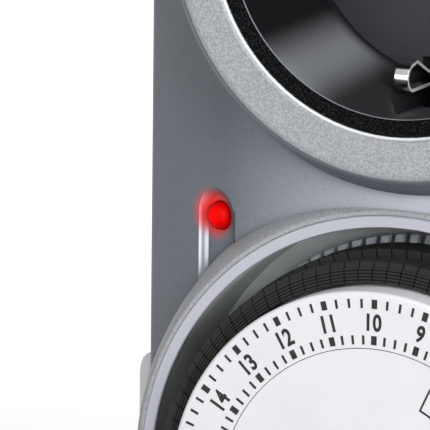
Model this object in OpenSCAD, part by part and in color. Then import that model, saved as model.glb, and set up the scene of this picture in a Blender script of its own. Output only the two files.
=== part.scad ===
// Plug-in 24-hour segment timer switch.
// The origin is the middle of the plug's end face, on the plug's axis. +X is right and
// +Z is up as seen from the front. The front faces -Y, and the plug pins point to +Y.
// Depths are measured from the dial's printed face back towards the wall.

/* [Body] */
// Width of the housing
body_w = 73; // [72:0.2:90]
// Height of the housing above the socket's centre
body_top = 36; // [35:0.5:48]
// Height of the housing below the dial's centre
body_bottom = 37.5; // [36:0.5:50]
// Corner radius seen from the front
corner_r = 20; // [14:0.5:24]
// Wall thickness of both housing shells
wall = 2.2; // [1.8:0.1:2.6]
// Radius of the crowned front
crown_r = 62; // [56:1:90]
// Fillet along the long edges of the front
edge_r = 3; // [2.6:0.2:4]
// Roll-off radius at the top and bottom of the front
end_r = 12; // [6:0.5:16]
// Depth from the dial's face to the top of the crown
crown_d = 7.6; // [7:0.1:8.2]
// Gap between the contacts and the back wall
back_gap = 1.7; // [1.4:0.1:12]

/* [Socket] */
// Distance from the dial's centre up to the socket's centre
socket_rise = 62; // [62:0.5:76]
// Depth of the socket collar's face
collar_d = 3.4; // [3:0.1:3.8]
// Radius of the recess at its mouth
recess_r = 19.4; // [19.2:0.1:19.8]
// Radius of the recess at its floor
recess_floor_r = 17.9; // [17.6:0.1:18.2]
// Depth of the recess
recess_h = 17.5; // [17:0.1:18.5]
// Wall of the socket insert
insert_t = 1.9; // [1.6:0.1:2.2]
// Floor thickness of the socket insert
insert_floor = 2.2; // [1.8:0.1:2.6]
// Spacing of the two pins
pin_pitch = 19; // [18.6:0.2:19.4]
// Diameter of a plug pin
pin_d = 4.8; // [4:0.1:5]
// Diameter of a pin hole in the recess floor
pin_hole_d = 5.5; // [5.2:0.1:5.9]
// Length of a plug pin beyond the plug's face
pin_len = 19; // [18:0.5:20]
// Width of an earth clip
clip_w = 7; // [5.8:0.2:8.6]
// Thickness of an earth clip
clip_t = 0.4; // [0.3:0.05:0.6]
// Thickness of the contact strips
strip_t = 0.7; // [0.5:0.1:0.9]

/* [Plug] */
// Radius of the plug
plug_r = 18.4; // [18:0.1:19]
// Height of the plug behind the housing
plug_h = 17; // [16:0.5:18]

/* [Dial] */
// Radius of the printed disc
disc_r = 24.3; // [24.1:0.05:24.4]
// Height of the disc's rim
disc_h = 3.3; // [3:0.1:3.4]
// Depth of the front of the segment grips
grip_d = 2.8; // [2.7:0.05:3]
// Outer radius of the segment grips
grip_r = 26.9; // [26.6:0.05:27.1]
// Outer radius of the slotted segment ring
ring_r = 27.4; // [27.2:0.05:27.6]
// Travel of a segment
travel = 2.5; // [2:0.1:2.5]
// Number of segments on the dial
segments = 96; // [96]
// Inner radius of the bezel ring
well_r = 29.9; // [29.6:0.1:30.2]
// Width of the bezel ring
bezel_t = 1.35; // [1.1:0.05:1.6]
// Depth of the bezel ring's rim
bezel_d = 7.2; // [7:0.1:8]

/* [Drive] */
// Gear module
gear_m = 0.5; // [0.5]
// Teeth of the drum's gear
drum_teeth = 56; // [56]
// Teeth of the idler's pinion
idler_pinion_teeth = 12; // [12]
// Teeth of the idler's wheel
idler_wheel_teeth = 48; // [48]
// Teeth of the motor's pinion
motor_teeth = 10; // [10]
// Direction of the idler from the dial's axis, in degrees
idler_angle = 45; // [40:1:50]
// Radius of the dial's axle
axle_r = 3; // [2.8:0.1:3.2]
// Radius of the motor's can
motor_r = 16.5; // [15:0.5:16.5]
// Thickness of the motor's can
motor_h = 11; // [9:0.5:12]
// Thickness of the mechanism plate
plate_t = 1.6; // [1.2:0.1:1.8]

/* [Indicator] */
// Distance of the indicator left of the centre line
lamp_x = 25; // [24.4:0.1:25.4]
// Height of the indicator above the dial's centre
lamp_rise = 27.9; // [27.6:0.1:30]
// Radius of the indicator's lens
lamp_r = 1.63; // [1.4:0.01:1.7]
// Width of the floor of the groove that the indicator sits in
groove_w = 4.2; // [4:0.1:4.6]
// Depth of the groove
groove_h = 0.8; // [0.6:0.05:1]

/* [Override switch] */
// Length of the slider
slider_l = 14; // [11:0.5:16]
// How far the slider stands out of the side
slider_out = 2; // [1.6:0.1:2.6]
// Travel of the slider
slider_travel = 4; // [3:0.5:4.5]

/* [Hidden] */
$fn = 96;
eps = 0.01;
play = 0.05;          // radial play of a running or pressed fit
gap = 0.3;            // gap between pieces that only lie near each other

// Depths of the socket's stack, from its floor to the back of the housing
floor_d = collar_d + recess_h;
insert_back_d = floor_d + insert_floor;
contact_end_d = floor_d + pin_len + 1.2;
body_d = contact_end_d + back_gap + wall;

// Frame
face_y = -(plug_h + body_d);
dial_z = -socket_rise;
half_w = body_w / 2;
bottom_z = dial_z - body_bottom;
side_d = side_depth(0);              // depth where the flat sides begin
slider_h = 7;
slider_d = side_d + 0.6;
part_d = slider_d + slider_h + 2.4;

// Socket
insert_r = recess_r + insert_t;
collar_tube_t = 1.9;
collar_inner_r = insert_r + 0.1;
collar_face_r = 25.3;
collar_round_r = 1.7;                // rounding of the collar's outer edge
collar_cut_r = 26;
collar_foot_r = 31;
shutter_t = 1.5;
shutter_d = insert_back_d + 0.25;
carrier_d = shutter_d + shutter_t + 0.25;
carrier_t = 1.8;
contact_d = carrier_d - 0.1;
pin_x = pin_pitch / 2;
pin_r = pin_d / 2;
neck_r = pin_r - 0.4;
neck_l = 4;
contact_r = pin_r + 0.1;
contact_t = 0.6;

// Dial
pitch = 360 / segments;
hours = 24;
per_hour = segments / hours;
top_hour = 10;                       // the hour that stands at the top of the dial
grip_in_r = disc_r + 0.3;
grip_gap = 0.14;                     // gap between neighbouring grips
grip_h = 2.95;
leg_in_r = 24.95;
leg_out_r = 26;
leg_w = 0.7;
leg_end_d = 15.2;
ledge_d = grip_d + grip_h + travel + gap / 2;
slot_play = 0.1;
ring_h = 3.9;
tooth_out = 0.7;                     // how far the drum's teeth stand out of the segment ring
drum_rim_r = 24.75;
drum_wall_in_r = 22.2;
drum_wall_out_r = 24.1;
flange_d = ledge_d + ring_h + play;
flange_t = 1;
hub_r = 14.9 - gap;
well_floor_d = leg_end_d + travel + gap;
well_floor_t = 1.8;
well_hole_r = 15.2;
well_back_d = well_floor_d + well_floor_t;
bezel_r = well_r + bezel_t;
bore_r = bezel_r + play;
well_wall_t = 1.5;

// Drive
gear_d = well_back_d + 0.4;
gear_t = 2.8;
idler_wheel_d = gear_d + gear_t + 0.5;
idler_wheel_t = 1.4;
plate_d = idler_wheel_d + idler_wheel_t + 0.7;
plate_back_d = plate_d + plate_t;
idler_dist = gear_m * (drum_teeth + idler_pinion_teeth) / 2;
idler_x = idler_dist * cos(idler_angle);
idler_z = idler_dist * sin(idler_angle);
motor_dist = gear_m * (idler_wheel_teeth + motor_teeth) / 2;
motor_x = idler_x;
motor_z = idler_z - motor_dist;
idler_pin_r = 1;
idler_pin_in = 1.2;
motor_shaft_r = 1;

// Trip lever: the nose stands under the first segment past the left of the dial
nose_angle = 180 + pitch / 2;
nose_r = (leg_in_r + leg_out_r) / 2;
nose_x = nose_r * cos(nose_angle);
nose_z = dial_z + nose_r * sin(nose_angle);
lever_arm = 13.2;
lever_axis_z = nose_z - lever_arm;
lever_d = well_back_d + 0.8;
lever_t = 1.6;
lever_w = 2.4;
lever_axis_d = lever_d + lever_t / 2;
lever_pin_r = 0.75;
lever_end_r = 1.5;
button_z = lever_axis_z + 6;
button_r = 0.8;
switch_d = lever_d + lever_t + 2.4;
switch_h = 6.5;
switch_w = 5.8;
switch_top_z = button_z + 4.5;
switch_l = 12.8;
switch_back_d = switch_d + switch_h;
cradle_t = 1.2;
cradle_in_x = switch_w / 2 + play;
cradle_out_x = cradle_in_x + cradle_t;

// Override slider
slider_top_z = dial_z + 9.4;
slider_ramp = 2.3;
slider_end_out = 0.45;               // how far the slider's ends stand out of the side
slider_plate_t = 1.2;

// Indicator
lamp_z = dial_z + lamp_rise;
lamp_tilt = asin(lamp_x / crown_r);  // slope of the crown at the indicator
lens_h = 3.4;                        // length of the lens behind the groove's floor
groove_flare = 0.9;                  // how much the groove's sides lean out on the way to its mouth
groove_over = 0.1;
groove_arch_z = 0.2;                 // middle of the groove's round end above the lens
board_d = well_back_d + 1.4;
board_t = 1.2;

// Fasteners
screw_r = 1.4;
head_r = 2.7;
boss_r = 3.4;
screw_head_t = 1.8;
screw_sink = 1;
housing_screw_x = half_w - 7.6;
top_screw_z = body_top - 9;
bottom_screw_z = bottom_z + 10.5;
pillars = [[-17, 18.5], [20.5, -21.5], [-15, -21]];
pillar_r = 2.6;

silver = "#a3abb2";
pale = "#c3c8cf";
black = "#262524";
charcoal = "#34373a";
white = "#ececee";
natural = "#d8d6cc";
steel = "#b9bcc0";
brass = "#c7a45a";
tin = "#c9ccd0";

// ---------- Placing ----------

// Y of a depth behind the dial's face
function at(d) = face_y + d;
// Depth of the crowned front at a distance from the centre line
function crown_depth(x) = crown_d + crown_r - sqrt(crown_r * crown_r - x * x);
// Fillet radius along the front's edges, and where it ends, with the body taken in by t
function edge_fillet(t) = max(edge_r - t, 0.8);
function fillet_x(t) = half_w - t - edge_fillet(t);
function side_depth(t) = crown_d + crown_r
    - sqrt(pow(crown_r - t - edge_fillet(t), 2) - pow(fillet_x(t), 2));

// A flat shape drawn in X and Z, from depth d0 back to depth d1
module slab(d0, d1) translate([0, at(d1), 0]) rotate([90, 0, 0]) linear_extrude(d1 - d0) children();

// A round rod along Y
module rod(d0, d1, r, x = 0, z = 0)
    translate([x, at(d1), z]) rotate([90, 0, 0]) cylinder(h = d1 - d0, r = r);

// A turned shape about an axis along Y, from points of [radius, depth]
module turned(points, x = 0, z = 0)
    translate([x, face_y, z]) rotate([90, 0, 0])
        rotate_extrude() polygon([for (p = points) [p[0], -p[1]]]);

// A box from one corner to the other, with depths in the middle place
module block(a, b) translate([a[0], at(a[1]), a[2]]) cube(b - a);

// The children and their mirror image
module top_and_bottom() for (m = [0, 1]) mirror([0, 0, m]) children();
module left_and_right() for (m = [0, 1]) mirror([m, 0, 0]) children();

module rounded_rect(x0, x1, z0, z1, r) {
    translate([x0 + r, z0]) square([x1 - x0 - 2 * r, z1 - z0]);
    translate([x0, z0 + r]) square([x1 - x0, z1 - z0 - 2 * r]);
    for (x = [x0 + r, x1 - r], z = [z0 + r, z1 - r]) translate([x, z]) circle(r);
}

// ---------- Housing form ----------

module outline(t) rounded_rect(-half_w + t, half_w - t, bottom_z + t, body_top - t, corner_r - t);

// Cross-section of the body in X and depth, taken in by t on all sides
module crown_section(t) {
    r = crown_r - t;
    fillet = edge_fillet(t);
    edge_x = fillet_x(t);
    fillet_d = side_depth(t);
    tangent_x = edge_x * r / (r - fillet);
    intersection() {
        translate([0, crown_d + crown_r]) circle(r, $fn = 240);
        translate([-tangent_x, crown_d]) square([2 * tangent_x, fillet_d]);
    }
    for (s = [-1, 1]) translate([s * edge_x, fillet_d]) circle(fillet);
    translate([-half_w + t, fillet_d]) square([body_w - 2 * t, body_d]);
}

// Long section of the body in depth and Z, with the roll-off at both ends
module end_section(t) {
    r = max(end_r - t, 1);
    d = crown_d + t + r;
    translate([crown_d + t, bottom_z + t + r]) square([body_d, body_top - bottom_z - 2 * t - 2 * r]);
    translate([d, bottom_z + t]) square([body_d, body_top - bottom_z - 2 * t]);
    for (z = [bottom_z + t + r, body_top - t - r]) translate([d, z]) circle(r);
}

module body_form(t, back_d)
    intersection() {
        slab(0, back_d) outline(t);
        translate([0, face_y, bottom_z - 1]) linear_extrude(body_top - bottom_z + 2) crown_section(t);
        translate([-half_w - 1, face_y, 0]) rotate([90, 0, 90]) linear_extrude(body_w + 2)
            end_section(t);
    }

module screw_places() for (x = [-1, 1], z = [top_screw_z, bottom_screw_z])
    translate([x * housing_screw_x, 0, z]) children();

module pillar_places() for (p = pillars) translate([p[0], 0, dial_z + p[1]]) children();

// ---------- Front housing ----------

module socket_collar() {
    tube_r = collar_inner_r + collar_tube_t;
    tube_end_d = flange_front_d - 0.2;
    turned(concat([[collar_inner_r, collar_d + 0.5], [collar_inner_r + 0.5, collar_d]],
        [for (a = [0:11.5:69]) [collar_face_r + collar_round_r * sin(a),
            collar_d + collar_round_r * (1 - cos(a))]],
        [[28.5, 8], [29.4, 10.3], [30.2, 12.1], [collar_foot_r, 13.6], [collar_foot_r, 15.4],
        [29.2, 15.4], [26.4, 9], [tube_r, 7.5], [tube_r, tube_end_d], [collar_inner_r, tube_end_d]]));
}

rim_d = bezel_d + 0.2;
foot_d = 17;
dial_flare = [[bezel_r + 0.5, rim_d], [32.2, 7.9], [33, 9.6], [33.6, 11.5], [34.1, 13.6], [34.5, 15.6],
    [34.7, foot_d]];

module dial_collar() {
    wall_r = bore_r + well_wall_t;
    turned(concat([[bore_r, rim_d]], dial_flare, [[wall_r, foot_d],
        [wall_r, well_back_d], [well_hole_r, well_back_d], [well_hole_r, well_floor_d],
        [bore_r, well_floor_d]]), 0, dial_z);
}

// The indicator stands square to the crown: its axis leans in behind the groove's floor
module at_lamp() translate([-lamp_x, at(crown_depth(lamp_x)), lamp_z]) rotate([0, 0, -lamp_tilt])
    translate([0, groove_h, 0]) children();

// A rod on the indicator's axis, with heights counted from the groove's floor to the inside
module lamp_rod(h0, h1, r) at_lamp() translate([0, h1, 0]) rotate([90, 0, 0]) cylinder(h = h1 - h0, r = r);

// Round-topped groove with leaning sides, which runs down into the dial's collar
module lamp_groove() at_lamp() {
    floor_r = groove_w / 2;
    cut_h = groove_h + groove_over;
    mouth_r = floor_r + groove_flare * cut_h / groove_h;
    translate([0, 0, groove_arch_z]) rotate([90, 0, 0]) cylinder(h = cut_h, r1 = floor_r, r2 = mouth_r);
    translate([0, 0, groove_arch_z - lamp_rise / 2]) linear_extrude(lamp_rise / 2)
        polygon([[-mouth_r, -cut_h], [mouth_r, -cut_h], [floor_r, 0], [-floor_r, 0]]);
}

module lamp_seat() lamp_rod(0.2, lens_h - 0.4, lamp_r + 1.1);

module front_housing() color(silver) difference() {
    union() {
        difference() {
            body_form(0, part_d);
            body_form(wall, part_d + 1);
            rod(0, part_d, collar_cut_r);
        }
        difference() {
            socket_collar();
            rod(0, part_d, bore_r, 0, dial_z);
        }
        intersection() {
            slab(0, part_d) outline(0);
            dial_collar();
        }
        intersection() {
            body_form(0.8, part_d);
            union() {
                screw_places() rod(crown_d, part_d, boss_r);
                lamp_seat();
            }
        }
        pillar_places() rod(well_floor_d + 1, plate_d, pillar_r);
        switch_cradle();
    }
    rod(0, well_floor_d, bore_r, 0, dial_z);
    difference() {
        lamp_groove();
        turned(concat([[0, 0], [dial_flare[0][0], 0]], dial_flare, [[0, foot_d]]), 0, dial_z);
    }
    lamp_rod(-1, lens_h + 1, lamp_r + play);
    screw_places() rod(part_d - 10, part_d + 1, screw_r + play);
    pillar_places() rod(plate_d - 4, plate_d + 1, screw_r + play);
    rod(well_back_d - idler_pin_in, well_back_d + 1, idler_pin_r + play, idler_x, dial_z + idler_z);
    lever_bore(lever_pin_r + play, cradle_out_x + 1);
    nose_slot();
    slider_slot();
}

// Walls beside the lever and the switch, with seats that the switch's case rests on
module switch_cradle() translate([nose_x, 0, 0]) {
    low_z = switch_top_z - switch_l;
    root_d = well_back_d - 1;
    seat_z = lever_axis_z - lever_end_r - gap;
    left_and_right() {
        block([cradle_in_x, root_d, low_z - 1], [cradle_out_x, switch_d + 4, switch_top_z + 0.5]);
        block([lever_w / 2 + gap, root_d, switch_top_z - 2.5], [cradle_out_x, switch_d, switch_top_z]);
    }
    block([-cradle_out_x, root_d, low_z - 1], [cradle_out_x, switch_d, seat_z]);
}

// A rod across the lever's axis, reaching h to each side
module lever_bore(r, h) translate([nose_x - h, at(lever_axis_d), lever_axis_z]) rotate([0, 90, 0])
    cylinder(h = 2 * h, r = r);

// Opening in the well's floor for the lever's nose
module nose_slot() block([nose_x - 1.3, well_floor_d - 1, nose_z - 1.6],
    [nose_x + 1.3, well_back_d + 1, nose_z + 2.4]);

// Opening in the left side for the override slider
module slider_slot() block([-half_w - 1, slider_d + 1.2, slider_top_z - slider_l - slider_travel + 1],
    [-half_w + wall + 1, slider_d + slider_h - 1.2, slider_top_z - 1]);

module bezel_ring() color(pale) turned([[well_r, bezel_d + 0.12], [well_r + 0.12, bezel_d],
    [bezel_r - 0.12, bezel_d], [bezel_r, bezel_d + 0.12], [bezel_r, well_floor_d],
    [well_r + 0.2, well_floor_d]], 0, dial_z);

// ---------- Rear housing ----------

notch_w = clip_w + 1;
notch_h = 2.4;
guide_w = 5;
guide_h = 1.6;
sleeve_r = pin_r + 1.8;
plug_end_d = body_d + plug_h;
floor_in_d = body_d - wall;

module pin_places() for (x = [-pin_x, pin_x]) translate([x, 0, 0]) children();

// The hollow plug, with the inner walls of its flats and grooves, and the pins' sleeves
module plug_boss() intersection() {
    rod(floor_in_d, plug_end_d, plug_r);
    union() {
        difference() {
            rod(floor_in_d, plug_end_d, plug_r);
            rod(floor_in_d - 1, plug_end_d - wall, plug_r - wall);
        }
        top_and_bottom() block([-notch_w / 2 - wall, floor_in_d, plug_r - notch_h - wall],
            [notch_w / 2 + wall, plug_end_d, plug_r]);
        left_and_right() block([plug_r - guide_h - wall, floor_in_d, -guide_w / 2 - wall],
            [plug_r, plug_end_d, guide_w / 2 + wall]);
        pin_places() rod(floor_in_d, plug_end_d, sleeve_r);
    }
}

// Flats for the earth contacts at the top and bottom, and guide grooves at the sides
module plug_cuts() {
    top_and_bottom() block([-notch_w / 2, body_d, plug_r - notch_h],
        [notch_w / 2, plug_end_d + 1, plug_r + 1]);
    left_and_right() block([plug_r - guide_h, body_d, -guide_w / 2],
        [plug_r + 1, plug_end_d + 1, guide_w / 2]);
}

module rear_housing() color(silver) difference() {
    union() {
        difference() {
            intersection() {
                slab(part_d, body_d) outline(0);
                body_form(0, body_d);
            }
            slab(0, floor_in_d) outline(wall);
        }
        difference() {
            plug_boss();
            plug_cuts();
        }
        screw_places() rod(part_d, body_d, boss_r);
    }
    // way through from the housing into the hollow plug
    difference() {
        rod(floor_in_d - 1, plug_end_d - wall, plug_r - notch_h - wall - 1);
        pin_places() rod(floor_in_d - 1, plug_end_d, sleeve_r);
    }
    pin_places() rod(part_d, plug_end_d + 1, pin_r + play);
    // slits that the earth contacts come out through
    top_and_bottom() block([-clip_w / 2 - play, floor_in_d - 1, side_z - strip_t / 2 - play],
        [clip_w / 2 + play, body_d + 1, side_z + strip_t / 2 + play]);
    screw_places() {
        rod(part_d - 1, body_d + 1, screw_r + gap);
        rod(body_d - screw_head_t - screw_sink, body_d + 1, head_r + gap);
    }
}

// ---------- Socket ----------

floor_ledge = 0.7;
flange_w = 1.9;
flange_front_d = insert_back_d - 2.4;

// The wall of the recess, and its floor in a seat behind the wall's ledge
module socket_insert() color(black) {
    seat_r = recess_floor_r + floor_ledge;
    seat_d = floor_d - play;
    lip_d = collar_d + 0.15;
    difference() {
        turned([[recess_floor_r, seat_d], [recess_r, lip_d + 0.35], [recess_r + 0.2, lip_d],
            [insert_r - 0.2, lip_d], [insert_r, lip_d + 0.25], [insert_r, flange_front_d],
            [insert_r + flange_w, flange_front_d], [insert_r + flange_w, insert_back_d],
            [seat_r, insert_back_d], [seat_r, seat_d]]);
        clip_slots();
    }
    difference() {
        rod(floor_d, insert_back_d, seat_r - play);
        pin_places() rod(floor_d - 1, insert_back_d + 1, pin_hole_d / 2);
        clip_slots();
    }
}

slot_half_w = clip_w / 2 + 0.4;
slot_front_d = 6;
slot_front_w = 0.5;
slot_floor_z = 15.6;

// Slots in the recess wall for the earth clips, which taper towards the mouth
module clip_slots() top_and_bottom() translate([0, face_y, slot_floor_z])
    linear_extrude(insert_r + 2 - slot_floor_z) polygon([[-slot_half_w, insert_back_d + 1],
        [-slot_half_w, clip_nose_d - gap], [-slot_front_w, slot_front_d],
        [slot_front_w, slot_front_d], [slot_half_w, clip_nose_d - gap],
        [slot_half_w, insert_back_d + 1]]);

shutter_hub_r = 4;
post_r = 2;

module shutter() color(natural) difference() {
    union() {
        rod(shutter_d, shutter_d + shutter_t, shutter_hub_r);
        slab(shutter_d, shutter_d + shutter_t) rounded_rect(-pin_x - 3.7, pin_x + 3.7, -3.6, 3.6, 2);
    }
    rod(shutter_d - 1, shutter_d + shutter_t + 1, post_r + play);
}

carrier_back_d = carrier_d + carrier_t;
coil_out_r = shutter_hub_r - 0.8;
coil_in_r = shutter_hub_r - 1.4;

module shutter_spring() color(steel) {
    turned([[coil_in_r, carrier_back_d + 0.2], [coil_out_r, carrier_back_d + 0.2],
        [coil_out_r, carrier_back_d + 2.4], [coil_in_r, carrier_back_d + 2.4]]);
    block([-0.3, carrier_back_d + 1.8, 3], [0.3, carrier_back_d + 2.4, 7]);
}

module contact_carrier() color(natural) difference() {
    union() {
        slab(carrier_d, carrier_back_d) rounded_rect(-18.5, 18.5, -12, 12, 3);
        rod(insert_back_d, carrier_back_d + 2.6, post_r);
        for (x = [-16.5, 16.5], z = [-10, 10]) rod(insert_back_d, carrier_d + 0.5, 1.6, x, z);
    }
    pin_places() rod(carrier_d - 1, carrier_back_d + 1, contact_r + contact_t + play);
}

module contact_tube(x) difference() {
    rod(contact_d, contact_end_d, contact_r + contact_t, x, 0);
    rod(contact_d - 1, contact_end_d - 0.8, contact_r, x, 0);
    block([x - 0.4, contact_d - 1, -5], [x + 0.4, contact_end_d - 6, 5]);
}

module live_contact() color(brass) contact_tube(-pin_x);
module neutral_contact() color(brass) contact_tube(pin_x);

// ---------- Earth ----------

// A strip of thickness t along a centre line of [depth, z] points
function ribbon_side(p, t, side) = [for (i = [0:len(p) - 1])
    let (a = p[max(i - 1, 0)], b = p[min(i + 1, len(p) - 1)], d = b - a, n = norm(d))
    p[i] + side * t / 2 * [-d[1], d[0]] / n];
function ribbon(p, t) = concat(ribbon_side(p, t, 1),
    [for (i = [len(p) - 1:-1:0]) ribbon_side(p, t, -1)[i]]);

clip_nose_d = 12.4;
clip_nose_r = 1.42;
clip_limb_z = 18.1;

// Hairpin earth clip: the nose points to the mouth, and one limb leans into the recess
function clip_line() = concat(
    [[contact_end_d - 0.5, clip_limb_z], [clip_nose_d + clip_nose_r + 1, clip_limb_z]],
    [for (a = [90:15:270]) [clip_nose_d + clip_nose_r + clip_nose_r * cos(a),
        clip_limb_z - clip_nose_r + clip_nose_r * sin(a)]],
    [[clip_nose_d + clip_nose_r + 1, clip_limb_z - 2 * clip_nose_r - 0.2],
        [clip_nose_d + 5.5, clip_limb_z - 1.5], [insert_back_d - 1, clip_limb_z - 1]]);

finger_w = 1.65;

module earth_clip_upper() color(tin) difference() {
    translate([-clip_w / 2, face_y, 0]) rotate([90, 0, 90]) linear_extrude(clip_w)
        polygon(ribbon(clip_line(), clip_t));
    // fork of the nose
    block([-clip_w / 2 + finger_w, clip_nose_d - 2, 10], [clip_w / 2 - finger_w, clip_nose_d + 6, 22]);
}

module earth_clip_lower() mirror([0, 0, 1]) earth_clip_upper();

bracket_d = contact_end_d - 0.5;
bracket_w = clip_w - 3;
side_z = plug_r - notch_h + strip_t / 2 + 2 * play;

// Cross strip behind the contacts, then the two side contacts along the plug
module earth_bracket() color(brass) {
    block([-bracket_w / 2, bracket_d, -side_z], [bracket_w / 2, bracket_d + strip_t, side_z]);
    top_and_bottom() {
        block([-clip_w / 2, bracket_d, side_z - strip_t / 2],
            [clip_w / 2, plug_end_d - 2, side_z + strip_t / 2]);
        block([-clip_w / 2, bracket_d, side_z], [clip_w / 2, bracket_d + strip_t, clip_limb_z + 1]);
    }
}

// ---------- Live and neutral ----------

feed_d = contact_end_d + 0.5;
strip_w = 3;
strip_x0 = nose_x - strip_w / 2;
strip_x1 = nose_x + strip_w / 2;

// A neck just inside the plug's end face keys the pin into the plug
module plug_pin(x, front_d) color(steel) turned([[0, front_d], [pin_r, front_d],
    [pin_r, plug_end_d - neck_l], [neck_r, plug_end_d - neck_l], [neck_r, plug_end_d],
    [pin_r, plug_end_d], [pin_r, plug_end_d + pin_len - 1],
    [pin_r - 1, plug_end_d + pin_len], [0, plug_end_d + pin_len]], x, 0);

module live_pin() plug_pin(-pin_x, feed_d + strip_t);
module neutral_pin() plug_pin(pin_x, contact_end_d);

// From the live pin to the switch's lower terminal
module live_feed_strip() color(brass) {
    low_z = switch_top_z - switch_l + 0.5;
    end_d = feed_d + strip_t;
    block([strip_x0, feed_d, -strip_w / 2], [-pin_x + pin_r, end_d, strip_w / 2]);
    block([strip_x0, feed_d, low_z], [strip_x1, end_d, strip_w / 2]);
    block([strip_x0, switch_back_d, low_z], [strip_x1, end_d, low_z + strip_t]);
}

// From the switch's upper terminal to the live contact
module live_return_strip() color(brass) {
    end_d = switch_back_d + strip_t;
    block([strip_x0, switch_back_d, button_z - 3], [strip_x1, end_d, strip_w / 2]);
    block([strip_x0, switch_back_d, -strip_w / 2], [-pin_x - contact_r - contact_t, end_d, strip_w / 2]);
}

// ---------- Dial ----------

// Half of the angle that a slot of half-width h takes at radius r
function slot_angle(h, r) = asin(h / r);
function polar(r, a) = [r * cos(a), r * sin(a)];
function segment_angle(i) = (i + 0.5) * pitch;

leg_slot_h = leg_w / 2 + slot_play;

// A ring outline with a radial slot at each leg: slots reach from radius a to radius b
function comb(a, b) = [for (i = [0:segments - 1], k = [0:3])
    let (c = segment_angle(i), r = (k == 0 || k == 3) ? a : b, side = k < 2 ? -1 : 1)
    polar(r, c + side * slot_angle(leg_slot_h, r))];

module segment_ring() color(black) translate([0, 0, dial_z]) {
    joint_h = 0.08;
    outer = [for (i = [0:segments - 1], k = [0:3])
        let (r = (k == 0 || k == 3) ? ring_r : ring_r - 1.1, side = k < 2 ? -1 : 1)
        polar(r, i * pitch + side * slot_angle(joint_h, r))];
    slab(ledge_d, ledge_d + ring_h) difference() {
        polygon(outer);
        polygon(comb(drum_rim_r + play, leg_out_r + slot_play));
    }
}

module dial_drum() color(pale) difference() {
    union() {
        translate([0, 0, dial_z]) slab(flange_d, flange_d + flange_t) polygon(comb(ring_r + tooth_out, drum_rim_r));
        // rim that carries the disc and the segment ring
        turned([[21, flange_d + flange_t], [21, disc_h + 2], [drum_wall_in_r, disc_h + 2],
            [drum_wall_in_r, disc_h + play], [drum_wall_out_r, disc_h + play],
            [drum_wall_out_r, ledge_d], [drum_rim_r, ledge_d],
            [drum_rim_r, flange_d + flange_t]], 0, dial_z);
        // web and hub
        turned([[axle_r + 1, flange_d], [22, flange_d], [22, flange_d + 1.6], [hub_r, flange_d + 1.6],
            [hub_r, gear_d], [axle_r + 1, gear_d]], 0, dial_z);
        translate([0, 0, dial_z]) slab(gear_d, gear_d + gear_t) gear(drum_teeth);
        rod(disc_h + 3.5, gear_d + gear_t, axle_r + 2.5, 0, dial_z);
    }
    rod(0, gear_d + gear_t + 1, axle_r + play, 0, dial_z);
    // hollow behind the web
    turned([[axle_r + 3.5, flange_d + 1.8], [hub_r - 1.8, flange_d + 1.8],
        [hub_r - 1.8, gear_d + gear_t + 1], [axle_r + 3.5, gear_d + gear_t + 1]], 0, dial_z);
}

module dial_disc() color(white) turned([[0, 0], [disc_r - 0.7, 0], [disc_r - 0.25, 0.2], [disc_r, 0.7],
    [disc_r, disc_h], [disc_r - 1.4, disc_h], [disc_r - 1.4, 1.4], [0, 1.4]], 0, dial_z);

ridges = 5;
ridge_drop = 0.1;
ridge_h = 0.16;
ridges_out_r = grip_r - 0.6;

// Grip profile in radius and depth: ridges step down towards a plain outer slope
function grip_profile() =
    let (step = (ridges_out_r - grip_in_r) / ridges, low_d = grip_d + ridges * ridge_drop)
    concat([for (k = [0:ridges - 1],
            q = [[0, ridge_h], [0.12, 0], [step, 0.04], [step, ridge_h + ridge_drop]])
        [grip_in_r + k * step + q[0], grip_d + k * ridge_drop + q[1]]],
        [[grip_r, low_d + 0.5], [grip_r, grip_d + grip_h], [grip_in_r, grip_d + grip_h]]);

// Half of a grip's width at radius r
function grip_half(r) = r * tan(pitch / 2) - grip_gap / 2;

module segment(i) translate([0, 0, dial_z]) rotate([0, -segment_angle(i), 0]) {
    intersection() {
        translate([0, face_y, -2]) linear_extrude(4) polygon(grip_profile());
        slab(grip_d - 1, grip_d + grip_h + 1) polygon([[grip_in_r - 1, -grip_half(grip_in_r - 1)],
            [grip_r + 1, -grip_half(grip_r + 1)], [grip_r + 1, grip_half(grip_r + 1)],
            [grip_in_r - 1, grip_half(grip_in_r - 1)]]);
    }
    block([leg_in_r, grip_d + 1, -leg_w / 2], [leg_out_r, leg_end_d, leg_w / 2]);
}

// The four segments after an hour mark
module segments_hour(h) color(black) for (k = [0:per_hour - 1])
    segment((h - top_hour) * per_hour + segments / 4 + k);

module dial_axle() color(steel) difference() {
    union() {
        rod(disc_h, plate_back_d, axle_r, 0, dial_z);
        rod(gear_d + gear_t + gap, plate_d, axle_r + 1.2, 0, dial_z);
    }
    turned([[axle_r - 0.4, disc_h + 1.5], [axle_r + 1, disc_h + 1.5], [axle_r + 1, disc_h + 2.3],
        [axle_r - 0.4, disc_h + 2.3]], 0, dial_z);
}

module axle_clip() color(steel) difference() {
    rod(disc_h + 1.55, disc_h + 2.25, axle_r + 2, 0, dial_z);
    rod(disc_h, disc_h + 3, axle_r - 0.4 + play, 0, dial_z);
    block([-1.2, disc_h, dial_z - axle_r - 3], [1.2, disc_h + 3, dial_z]);
}

// ---------- Gears ----------

pressure = 20;
function involute(a) = tan(a) * 180 / PI - a;
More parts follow.
